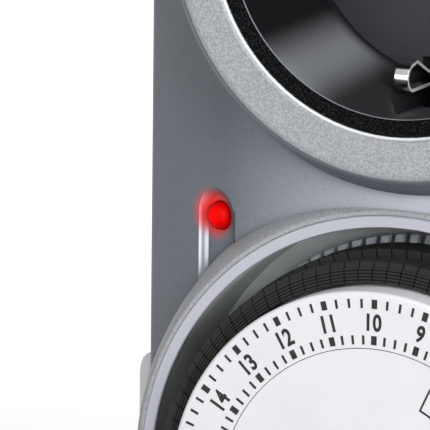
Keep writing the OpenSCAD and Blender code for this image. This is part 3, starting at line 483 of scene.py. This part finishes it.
def printed(dial):
    """Pad-printed ink: matt, a little uneven in its cover."""
    material, tree, shader, place = start_finish(
        "pad_print_ink", IOR=1.45, Roughness=0.6, Specular_IOR_Level=0.15
    )
    tones = {0: speckle(tree, place, 0.35, 0, 1), 6: dial.ink, 7: linear("#3c3838")}
    feed(tree, shader, Base_Color=add(tree, "Mix", tones, data_type="RGBA").outputs[2])
    return material


# ---------------------------------------------------------------- mesh helpers


def built_mesh(name, bm):
    """A mesh from what was built in a bmesh, which it frees."""
    mesh = bpy.data.meshes.new(name)
    bm.to_mesh(mesh)
    bm.free()
    return mesh


def placed(context, name, data):
    """A new object in the scene."""
    made = bpy.data.objects.new(name, data)
    context.scene.collection.objects.link(made)
    return made


def shown(context, name, mesh, material, body, *replaced, angle=None):
    """Puts a mesh in the scene as a piece that rides on a body, shaded smooth up to an angle."""
    piece = placed(context, name, mesh)
    mesh.materials.clear()
    mesh.materials.append(material)
    if angle:
        mesh.shade_smooth()
        mesh.set_sharp_from_angle(angle=math.radians(angle))
    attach(piece, body)
    if replaced:
        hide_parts(*replaced)
    return piece


def dial_point(radius, angle):
    """A point on the dial's face from millimetres and degrees, anticlockwise from the right."""
    turn = math.radians(angle)
    return Vector((radius * math.cos(turn), FACE_Y, DIAL_Z + radius * math.sin(turn))) * MM


def print_slab(bm, points):
    """A flat printed shape: a front face, and sides that go back by the print's thickness."""
    front = [bm.verts.new(p) for p in points]
    back = [bm.verts.new(p + Vector((0, PRINT * MM, 0))) for p in points]
    bm.faces.new(front)
    bm.faces.new(back[::-1])
    for i in range(len(points)):
        j = (i + 1) % len(points)
        bm.faces.new((front[j], front[i], back[i], back[j]))


def turned(profile, centre):
    """A closed ring of profile points [radius, y] in millimetres, turned about an axis along Y."""
    steps = 192
    bm = bmesh.new()
    rows = []
    for i in range(steps):
        a = 2 * math.pi * i / steps
        spots = [(centre[0] + r * math.cos(a), y, centre[1] + r * math.sin(a)) for r, y in profile]
        rows.append([bm.verts.new(Vector(spot) * MM) for spot in spots])
    for i in range(steps):
        this, after = rows[i], rows[(i + 1) % steps]
        for k in range(len(profile) - 1):
            bm.faces.new((this[k], this[k + 1], after[k + 1], after[k]))
    # the points on the axis become one
    bmesh.ops.remove_doubles(bm, verts=bm.verts, dist=1e-7)
    bmesh.ops.recalc_face_normals(bm, faces=bm.faces)
    return bm


def arc_points(centre, radius, start, end, steps):
    """Points [x, y] on an arc, from one angle to another in degrees."""
    angles = [math.radians(start + (end - start) * i / steps) for i in range(steps + 1)]
    return [(centre[0] + radius * math.cos(a), centre[1] + radius * math.sin(a)) for a in angles]


def crown_normal(spot):
    """The crown's own direction at a place in millimetres, or None away from the crown."""
    out = Vector((spot.x, spot.y - FACE_Y - CROWN_D - CROWN_R, 0))
    return out.normalized() if abs(out.length - CROWN_R) < CROWN_NEAR and spot.y < 0 else None


def true_normals(mesh):
    """Shades the crown by its own curve, and elsewhere lets larger faces lead, so that flats stay flat."""
    alike = math.cos(math.radians(SMOOTH_ANGLE))
    meeting = [[] for _ in mesh.vertices]
    for face in mesh.polygons:
        for index in face.vertices:
            meeting[index].append(face.normal * face.area)
    normals = [None] * len(mesh.loops)
    for face in mesh.polygons:
        for corner in face.loop_indices:
            index = mesh.loops[corner].vertex_index
            direction = crown_normal(mesh.vertices[index].co / MM)
            if not direction or direction.dot(face.normal) < CROWN_ALIKE:
                near = [n for n in meeting[index] if n.dot(face.normal) > alike * n.length]
                direction = sum(near, Vector((0, 0, 0))).normalized()
            normals[corner] = direction
    mesh.normals_split_custom_set(normals)


def smoothed(context, node, material, body, angle=SMOOTH_ANGLE, bevel=0.0):
    """A welded, smooth-shaded copy of a CAD node, with its edges rounded where a radius is given."""
    mesh = CAD[node].data.copy()
    bm = bmesh.new()
    bm.from_mesh(mesh)
    bmesh.ops.remove_doubles(bm, verts=bm.verts, dist=WELD * MM)
    bm.to_mesh(mesh)
    bm.free()
    mesh.transform(CAD[node].matrix_world)
    piece = shown(context, node + "_smooth", mesh, material, body, node, angle=angle)
    if bevel:
        rounding = piece.modifiers.new("rounding", "BEVEL")
        rounding.width = bevel * MM
        rounding.segments = 3
        rounding.limit_method = "ANGLE"
        rounding.angle_limit = math.radians(angle)
        rounding.harden_normals = True
    return piece


def assign(names, material):
    """Gives CAD nodes that are shown as they are their material."""
    for name in names:
        CAD[name].data.materials.clear()
        CAD[name].data.materials.append(material)


# ---------------------------------------------------------------- operators


class TIMER_OT_shell(bpy.types.Operator):
    """Lacquers both housing shells, with the front's grained collars, a groove wall painted lighter and a
    bare well
    """

    bl_idname = "timer.shell"
    bl_label = "Housing Shells"

    # the collars, in millimetres: where they end behind the dial's face, the radius of the socket
    # collar's flat, how far the dial collar's flat and flare go out from the ring, and the well's floor
    COLLAR_END = 17.2
    SOCKET_FACE_R = 25.9
    RIM = 0.6
    FLARE = 3.6
    WELL = 1
    # the groove, from the lens's middle: to each side, upwards and back
    GROOVE_SIDE = 4
    GROOVE_TOP = 0.6
    GROOVE_BACK = 2.5
    # parts of a face's normal: forwards on a collar and on the well's floor, across and outwards on
    # the flare, and to the right of the crown's own on the groove's wall that is painted lighter
    COLLAR_FRONT = 0.05
    WELL_FRONT = 0.5
    FLARE_ACROSS = 0.035
    FLARE_OUT = 0.2
    GROOVE_RIGHT = 0.25

    def execute(self, context):
        shell = context.scene.timer_shell
        lamp = context.scene.timer_lamp
        lacquer = silver_lacquer("silver_lacquer_on_abs", shell, lamp, shell.lacquer_dark, shell.lacquer)
        # painted light: a lighter copy of the lacquer for the groove's left wall, bright aslant and in the
        # dial collar's shadow
        tones = linear("#b9bec8"), linear("#dfe2ea")
        polished = silver_lacquer("silver_lacquer_painted_light", shell, lamp, *tones)
        # the floor of the well is plain matt plastic, which the lacquer does not reach
        bare = moulded("bare_abs_well", linear("#bcc2c2"), linear("#aeb4b4"), rough=0.5)
        front = smoothed(context, "front_housing", lacquer, "housing")
        rear = smoothed(context, "rear_housing", lacquer, "housing")
        for piece in (front, rear):
            true_normals(piece.data)
        for material in (grained_collar(shell), polished, bare):
            front.data.materials.append(material)
        for face in front.data.polygons:
            face.material_index = self.slot(face.center / MM, face.normal)
        return {"FINISHED"}

    def slot(self, spot, normal):
        """The finish of a face of the front: 0 lacquered, 1 grained, 2 lacquer painted lighter, 3 bare."""
        if self.on_collar(spot, normal):
            return 1
        if self.by_groove(spot) and normal.x - spot.x / CROWN_R > self.GROOVE_RIGHT:
            return 2
        return 3 if self.in_well(spot, normal) else 0

    def in_well(self, spot, normal):
        """Whether a face is on the floor of the dial's well."""
        inside = math.hypot(spot.x, spot.z - DIAL_Z) < BEZEL_R + self.WELL
        return inside and normal.y < -self.WELL_FRONT and spot.y > FACE_Y + self.COLLAR_END

    def by_groove(self, spot):
        """Whether a place is on the straight part of the groove under the indicator."""
        around = math.hypot(spot.x, spot.z - DIAL_Z)
        beside = abs(spot.x - LENS_X) < self.GROOVE_SIDE and spot.z < LENS_Z + self.GROOVE_TOP
        return beside and around > BEZEL_R + self.FLARE and spot.y < LENS_Y + self.GROOVE_BACK

    def on_collar(self, spot, normal):
        """Whether a face is on the dial's flared collar or on the flat of the socket's collar."""
        if normal.y > -self.COLLAR_FRONT or spot.y > FACE_Y + self.COLLAR_END:
            return False
        if math.hypot(spot.x, spot.z) < self.SOCKET_FACE_R:
            return True
        around = Vector((spot.x, 0, spot.z - DIAL_Z))
        if around.length < BEZEL_R + self.RIM:
            return True
        # a face of the flare leans straight away from the dial's axis
        out = around.normalized()
        across = Vector((-out.z, 0, out.x))
        flared = abs(normal.dot(across)) < self.FLARE_ACROSS and normal.dot(out) > self.FLARE_OUT
        return flared and around.length < BEZEL_R + self.FLARE


class TIMER_OT_bezel(bpy.types.Operator):
    """Finishes the ring round the dial and the override slider"""

    bl_idname = "timer.bezel"
    bl_label = "Bezel and Slider"

    def execute(self, context):
        shell = context.scene.timer_shell
        smoothed(context, "bezel_ring", satin_bezel(shell), "housing")
        # ABS coloured right through: paler than the lacquer and without its flakes
        pale = moulded("grey_abs_slider", shell.slider, linear("#e8ebea"), rough=0.5, edge=0.3)
        smoothed(context, "override_slider", pale, "override", bevel=0.35)
        return {"FINISHED"}


class TIMER_OT_socket(bpy.types.Operator):
    """Finishes the socket insert, the shutter, the contact carrier and the earth clips"""

    bl_idname = "timer.socket"
    bl_label = "Socket"

    # how far a clip's face is turned to the side where it is a sheared one
    SHEARED = 0.8

    def execute(self, context):
        socket = context.scene.timer_socket
        smoothed(context, "socket_insert", gloss_abs(socket), "housing")
        # bright nickel on rolled strip: a mirror with marks along the strip
        nickel = metal(
            "nickel_plated_strip", socket.nickel, linear("#a9a49c"), rough=0.08, streak=(1, 0.1, 1)
        )
        # the strip's sheared sides are matt, so they stay light where its faces mirror the dark recess
        sheared = metal(
            "sheared_nickel_edge", linear("#c6c9cc"), linear("#b2b5b8"), rough=0.5, metallic=0.15
        )
        for node in ("earth_clip_upper", "earth_clip_lower"):
            clip = smoothed(context, node, nickel, "housing", angle=50, bevel=0.06)
            clip.data.materials.append(sheared)
            for face in clip.data.polygons:
                if abs(face.normal.x) > self.SHEARED:
                    face.material_index = 1
        # undyed polyamide: cream-coloured and matt
        natural = moulded("natural_polyamide", linear("#d8d5c9"), linear("#cbc7b8"), rough=0.5)
        assign(["shutter", "contact_carrier"], natural)
        return {"FINISHED"}


class TIMER_OT_dial_face(bpy.types.Operator):
    """Makes the printed disc: a rounded disc, ticks, a circle, numbers and the turning arrow"""

    bl_idname = "timer.dial_face"
    bl_label = "Dial Face"

    # the disc's rounded edge and its thickness, and the circle's radius and width, in millimetres
    ROUND = 0.45
    SKIN = 1.4
    CIRCLE_R = 18.07
    CIRCLE_WIDTH = 0.07
    # the arrow's sides, its head's reach to each side of their middle, and its line
    ARROW_INNER = 13.1
    ARROW_OUTER = 15.8
    ARROW_WING = 2.5
    ARROW_LINE = 0.22
    # where the arrow starts, where its head starts and where that ends, in degrees
    ARROW_TAIL = 65
    ARROW_NECK = -40
    ARROW_TIP = -56
    # a number's width for its height, against the font's own
    NARROW = 0.8

    def disc(self, context, dial):
        y = FACE_Y + PRINT
        back = node_span("dial_disc", 1)[1]
        inside = DISC_R - self.SKIN
        edge = arc_points((DISC_R - self.ROUND, y + self.ROUND), self.ROUND, -90, 0, 8)
        profile = [
            (0, y), (8, y), (16, y), (22, y), *edge,
            (DISC_R, back), (inside, back), (inside, y + self.SKIN), (0, y + self.SKIN),
        ]
        # opaque white ABS with a fine texture: matt, and even all over
        white = moulded(
            "white_abs_disc", dial.disc, linear("#dbdbdf"), rough=0.45, grain=0.3, depth=0.002, edge=0.0
        )
        mesh = built_mesh("dial_face", turned(profile, (0, DIAL_Z)))
        shown(context, "dial_face", mesh, white, "dial", "dial_disc", angle=32)

    def ticks(self, bm, dial):
        """Two rows of ticks, one tick to a quarter of an hour, with wide ones at the hours."""
        for i in range(96):
            width = (dial.quarter_tick if i % 4 else dial.hour_tick) / MM
            angle = i * 360 / 96
            turn = math.radians(angle)
            side = Vector((-math.sin(turn), 0, math.cos(turn))) * (width * MM / 2)
            for start in (dial.outer_tick / MM, dial.inner_tick / MM):
                near = dial_point(start, angle)
                far = dial_point(start + dial.tick_length / MM, angle)
                print_slab(bm, [near - side, far - side, far + side, near + side])

    def circle(self, bm):
        """The fine circle inside the ticks."""
        steps = 240
        inner, outer = self.CIRCLE_R - self.CIRCLE_WIDTH / 2, self.CIRCLE_R + self.CIRCLE_WIDTH / 2
        for i in range(steps):
            a, b = 360 * i / steps, 360 * (i + 1) / steps
            corners = ((inner, a), (outer, a), (outer, b), (inner, b))
            print_slab(bm, [dial_point(radius, angle) for radius, angle in corners])

    def arrow(self, bm):
        """An outlined arrow that turns clockwise, from its tail to its head."""
        steps = 40
        middle = (self.ARROW_INNER + self.ARROW_OUTER) / 2
        length = self.ARROW_NECK - self.ARROW_TAIL
        path = [(self.ARROW_OUTER, self.ARROW_TAIL + length * i / steps) for i in range(steps + 1)]
        path += [(middle + self.ARROW_WING, self.ARROW_NECK), (middle, self.ARROW_TIP)]
        path += [(middle - self.ARROW_WING, self.ARROW_NECK)]
        path += [(self.ARROW_INNER, self.ARROW_NECK - length * i / steps) for i in range(steps + 1)]
        points = [dial_point(radius, angle) for radius, angle in path]
        for i, b in enumerate(points):
            a = points[i - 1]
            side = (b - a).cross(Vector((0, 1, 0))).normalized() * (self.ARROW_LINE * MM / 2)
            # a line runs on at both ends, to fill the corner with the next
            reach = (b - a).normalized() * (self.ARROW_LINE * MM / 4)
            print_slab(bm, [a - reach - side, b + reach - side, b + reach + side, a - reach + side])

    def numbers(self, context, bm, dial):
        """The hours, each with its top outwards."""
        for hour in range(1, 25):
            curve = bpy.data.curves.new("hour_number", "FONT")
            curve.body = str(hour)
            curve.align_x = curve.align_y = "CENTER"
            curve.offset = 0.03
            curve.space_character = 1.04
            curve.resolution_u = 6
            text = placed(context, "hour_number", curve)
            context.view_layer.update()
            mesh = bpy.data.meshes.new_from_object(text.evaluated_get(context.evaluated_depsgraph_get()))
            xs = [v.co.x for v in mesh.vertices]
            ys = [v.co.y for v in mesh.vertices]
            grow = dial.numeral_height / (max(ys) - min(ys))
            middle = Vector(((max(xs) + min(xs)) / 2, (max(ys) + min(ys)) / 2, 0))
            angle = 90 + (hour - dial.top_hour) * 15
            turn = math.radians(angle)
            out = Vector((math.cos(turn), 0, math.sin(turn)))
            right = Vector((math.sin(turn), 0, -math.cos(turn)))
            centre = dial_point(dial.numeral_radius / MM, angle)
            places = []
            for v in mesh.vertices:
                p = (v.co - middle) * grow
                places.append(centre + right * p.x * self.NARROW + out * p.y)
            for polygon in mesh.polygons:
                print_slab(bm, [places[i] for i in polygon.vertices])
            bpy.data.objects.remove(text)
            bpy.data.curves.remove(curve)
            bpy.data.meshes.remove(mesh)

    def execute(self, context):
        dial = context.scene.timer_dial
        self.disc(context, dial)
        ink = printed(dial)
        bm = bmesh.new()
        self.ticks(bm, dial)
        self.circle(bm)
        self.arrow(bm)
        shown(context, "dial_ticks", built_mesh("dial_ticks", bm), ink, "dial")
        bm = bmesh.new()
        self.numbers(context, bm, dial)
        shown(context, "dial_numbers", built_mesh("dial_numbers", bm), ink, "dial")
        return {"FINISHED"}


class TIMER_OT_segments(bpy.types.Operator):
    """Finishes the segments, their slotted ring and the drum, whose tabs lean back"""

    bl_idname = "timer.segments"
    bl_label = "Dial Segments"

    # the drum's tabs, in millimetres: where their tips start, how far these lean back, and how much
    # shorter they are
    TAB_TIP_R = 27
    TAB_LEAN = 2.5
    TAB_CUT = 0.3

    def execute(self, context):
        dial = context.scene.timer_dial
        # black POM: waxy, with a dull grey light along each rib
        black = moulded(
            "black_pom_segments", dial.segment, linear("#242322"),
            rough=0.6, edge=0.07, Specular_IOR_Level=0.2,
        )
        assign([name for name in CAD if name.startswith("segments_hour")] + ["segment_ring"], black)
        # pale POM: it shows as light tabs between the black segments
        grey = moulded("grey_pom_drum", dial.drum, linear("#b6bbc1"), rough=0.45)
        drum = smoothed(context, "dial_drum", grey, "dial")
        middle = Vector((0, 0, DIAL_Z * MM))
        for vertex in drum.data.vertices:
            out = vertex.co - middle
            if math.hypot(out.x, out.z) > self.TAB_TIP_R * MM:
                vertex.co -= Vector((out.x, 0, out.z)).normalized() * self.TAB_CUT * MM
                vertex.co.y += self.TAB_LEAN * MM
        return {"FINISHED"}


class TIMER_OT_indicator(bpy.types.Operator):
    """Finishes the lit lens of the indicator, and the lamp and board behind it"""

    bl_idname = "timer.indicator"
    bl_label = "Indicator"

    def execute(self, context):
        lamp = context.scene.timer_lamp
        smoothed(context, "indicator_lens", lens_red(lamp), "housing", angle=40)
        # cast epoxy: red and glossy
        diode = moulded("red_epoxy_lamp", linear("#e0574a"), linear("#c9352c"), rough=0.2)
        assign(["indicator_lamp"], diode)
        # solder mask over copper: deep green with a satin gloss
        board = moulded("green_solder_mask", linear("#2f6b3c"), linear("#285c34"), rough=0.35)
        assign(["lamp_board"], board)
        return {"FINISHED"}


class TIMER_OT_plug(bpy.types.Operator):
    """Finishes the plug's pins, the earth bracket, the live and neutral strips and the screws"""

    bl_idname = "timer.plug"
    bl_label = "Plug"

    def execute(self, context):
        socket = context.scene.timer_socket
        # nickel over brass pins, rubbed by sockets: bright, with marks along the pin
        nickel = metal("nickel_plated_pin", socket.nickel, linear("#b3afa6"), rough=0.2, streak=(1, 0.1, 1))
        for node in ("live_pin", "neutral_pin"):
            smoothed(context, node, nickel, "housing", bevel=0.15)
        # strip brass as pressed: yellow, half bright, with marks from the rolling
        brass = metal("pressed_brass", socket.brass, linear("#a67f3e"), rough=0.3, streak=(1, 0.1, 1))
        strips = ["live_contact", "neutral_contact", "live_feed_strip", "live_return_strip"]
        assign(["earth_bracket", *strips], brass)
        # blue zinc plating: cold grey and half bright
        zinc = metal("zinc_plated_screw", linear("#b4b8bb"), linear("#9a9da0"), rough=0.28)
        assign(["housing_screws", "mechanism_screws"], zinc)
        return {"FINISHED"}


class TIMER_OT_mechanism(bpy.types.Operator):
    """Finishes the works inside the housing"""

    bl_idname = "timer.mechanism"
    bl_label = "Mechanism"

    def execute(self, context):
        # ground or drawn steel: neutral grey with tight highlights
        steel = metal("spring_steel", linear("#b9bcc0"), linear("#a2a5a9"), rough=0.25)
        turning = ["dial_axle", "axle_clip", "idler_pin", "motor_pinion", "lever_pin"]
        assign([*turning, "motor_can", "shutter_spring"], steel)
        # zinc-plated sheet: paler, with marks across it from the rolling
        zinc = metal(
            "zinc_plated_sheet", linear("#c2c5c8"), linear("#aeb2b4"), rough=0.3, streak=(0.2, 1, 1)
        )
        assign(["mechanism_plate"], zinc)
        # undyed POM: milky white and waxy
        natural = moulded("natural_pom", linear("#dcdacf"), linear("#cfccc0"), rough=0.42)
        assign(["idler_gear", "trip_lever"], natural)
        # filled phenolic: nearly black and dull
        case = moulded("black_phenolic", linear("#34373a"), linear("#2b2d30"), rough=0.5)
        assign(["microswitch_case"], case)
        # dyed nylon: an even red
        button = moulded("red_nylon", linear("#c8402e"), linear("#b53726"), rough=0.4)
        assign(["microswitch_button"], button)
        return {"FINISHED"}


class TIMER_OT_stage(bpy.types.Operator):
    """Sets the floor, the lamps, the camera and the white surroundings"""

    bl_idname = "timer.stage"
    bl_label = "Stage"

    # half the floor's width in metres, the gap under the object in millimetres, and the place in
    # metres that the lamps are turned to
    FLOOR_REACH = 4.0
    FLOOR_GAP = 0.05
    AIM = (0, -0.05, -0.03)

    def floor(self, context, stage):
        """A pale floor that looks white to the camera and keeps the object's shadow."""
        bm = bmesh.new()
        reach, height = self.FLOOR_REACH, (FLOOR_Z - self.FLOOR_GAP) * MM
        corners = [(-reach, -reach), (reach, -reach), (reach, reach), (-reach, reach)]
        bm.faces.new([bm.verts.new((x, y, height)) for x, y in corners])
        mesh = built_mesh("floor", bm)
        floor = placed(context, "floor", mesh)
        # uncoated paper: matt and white, and here it shines a little, so that it ends nowhere
        material = bpy.data.materials.new("pale_paper")
        tree = emptied_tree(material)
        paper = add(tree, "BsdfDiffuse", {"Color": stage.floor})
        # near the object the lamps make the rest of the white, so that its shadow shows
        place = add(tree, "TexCoord").outputs["Object"]
        away = add(tree, "VectorMath", {0: place}, operation="LENGTH").outputs["Value"]
        spread = {"Value": away, "From Min": 0.09, "From Max": 0.36, "To Min": 0.7, "To Max": 0.97}
        strength = add(tree, "MapRange", spread, interpolation_type="SMOOTHSTEP").outputs[0]
        shine = add(tree, "Emission", {"Color": (1, 1, 1, 1), "Strength": strength})
        none = add(tree, "Emission", {"Strength": 0.0})
        seen = self.background_rays(tree)
        lift = add(tree, "MixShader", {0: seen, 1: none.outputs[0], 2: shine.outputs[0]})
        both = add(tree, "AddShader", {0: paper.outputs[0], 1: lift.outputs[0]})
        add(tree, "OutputMaterial", {"Surface": both.outputs[0]})
        mesh.materials.append(material)

    def background_rays(self, tree):
        """1 for rays that show the background: to the camera, in metal and through glass."""
        rays = add(tree, "LightPath").outputs
        seen = rays["Is Camera Ray"]
        for kind in ("Is Glossy Ray", "Is Transmission Ray"):
            seen = add(tree, "Math", {0: seen, 1: rays[kind]}, operation="MAXIMUM").outputs[0]
        return seen

    def lamp(self, context, name, place, size, power):
        """A square lamp, with its place and size in metres and its power in watts."""
        data = bpy.data.lights.new(name, "AREA")
        data.energy = power
        data.size = size
        lamp = placed(context, name, data)
        away = Vector(place) - Vector(self.AIM)
        lamp.matrix_world = Matrix.Translation(place) @ away.to_track_quat("Z", "Y").to_matrix().to_4x4()

    def camera(self, context, stage):
        """The camera, turned about its target by azimuth, elevation and roll."""
        turn, lift, roll = stage.azimuth, stage.elevation, stage.roll
        back = Vector((math.sin(turn) * math.cos(lift), -math.cos(turn) * math.cos(lift), math.sin(lift)))
        right = Vector((math.cos(turn), math.sin(turn), 0))
        up = back.cross(right)
        right, up = (
            math.cos(roll) * right + math.sin(roll) * up,
            math.cos(roll) * up - math.sin(roll) * right,
        )
        data = bpy.data.cameras.new("camera")
        data.lens = stage.lens
        data.sensor_width = 36
        data.clip_end = 20
        camera = placed(context, "camera", data)
        place = Vector(stage.target) + back * stage.distance
        camera.matrix_world = Matrix.Translation(place) @ Matrix((right, up, back)).transposed().to_4x4()
        context.scene.camera = camera

    def execute(self, context):
        stage = context.scene.timer_stage
        self.floor(context, stage)
        self.camera(context, stage)
        self.lamp(context, "key", (0.87, -0.9, 0.34), 0.5, stage.key)
        self.lamp(context, "top", (0.55, -0.75, 0.95), 0.6, stage.top)
        self.lamp(context, "fill", (-0.55, -1.17, 0.15), 0.55, stage.fill)
        self.lamp(context, "rear", (-0.5, 1.05, 0.45), 0.6, stage.rear)
        world = bpy.data.worlds.new("studio")
        context.scene.world = world
        tree = emptied_tree(world)
        # white where it is seen, and dim as a light, so that the lamps make the shadows
        strength = add(tree, "Mix", {0: self.background_rays(tree), 2: 0.12, 3: 1.0}).outputs[0]
        sky = add(tree, "Background", {"Color": (1, 1, 1, 1), "Strength": strength})
        add(tree, "OutputWorld", {"Surface": sky.outputs[0]})
        context.scene.view_settings.view_transform = "Standard"
        return {"FINISHED"}


class TIMER_PT_panel(bpy.types.Panel):
    """Lists the timer switch's steps and settings"""

    bl_idname = "TIMER_PT_panel"
    bl_label = "Timer Switch"
    bl_space_type = "VIEW_3D"
    bl_region_type = "UI"
    bl_category = "Timer Switch"

    def draw(self, context):
        for operator in OPERATORS:
            self.layout.operator(operator.bl_idname)
        for name in SETTINGS:
            box = self.layout.box()
            settings = getattr(context.scene, name)
            for key in settings.__annotations__:
                box.prop(settings, key)


OPERATORS = (
    TIMER_OT_shell, TIMER_OT_bezel, TIMER_OT_socket, TIMER_OT_dial_face, TIMER_OT_segments,
    TIMER_OT_indicator, TIMER_OT_plug, TIMER_OT_mechanism, TIMER_OT_stage,
)
SETTINGS = {
    "timer_shell": TimerShellSettings,
    "timer_dial": TimerDialSettings,
    "timer_socket": TimerSocketSettings,
    "timer_lamp": TimerLampSettings,
    "timer_stage": TimerStageSettings,
}


def register():
    for group in SETTINGS.values():
        bpy.utils.register_class(group)
    for operator in OPERATORS:
        bpy.utils.register_class(operator)
    bpy.utils.register_class(TIMER_PT_panel)
    for name, group in SETTINGS.items():
        setattr(bpy.types.Scene, name, PointerProperty(type=group))


def unregister():
    for name in SETTINGS:
        delattr(bpy.types.Scene, name)
    bpy.utils.unregister_class(TIMER_PT_panel)
    for operator in reversed(OPERATORS):
        bpy.utils.unregister_class(operator)
    for group in reversed(SETTINGS.values()):
        bpy.utils.unregister_class(group)


def main():
    register()
    for operator in OPERATORS:
        space, name = operator.bl_idname.split(".")
        getattr(getattr(bpy.ops, space), name)()


if __name__ == "__main__":
    main()
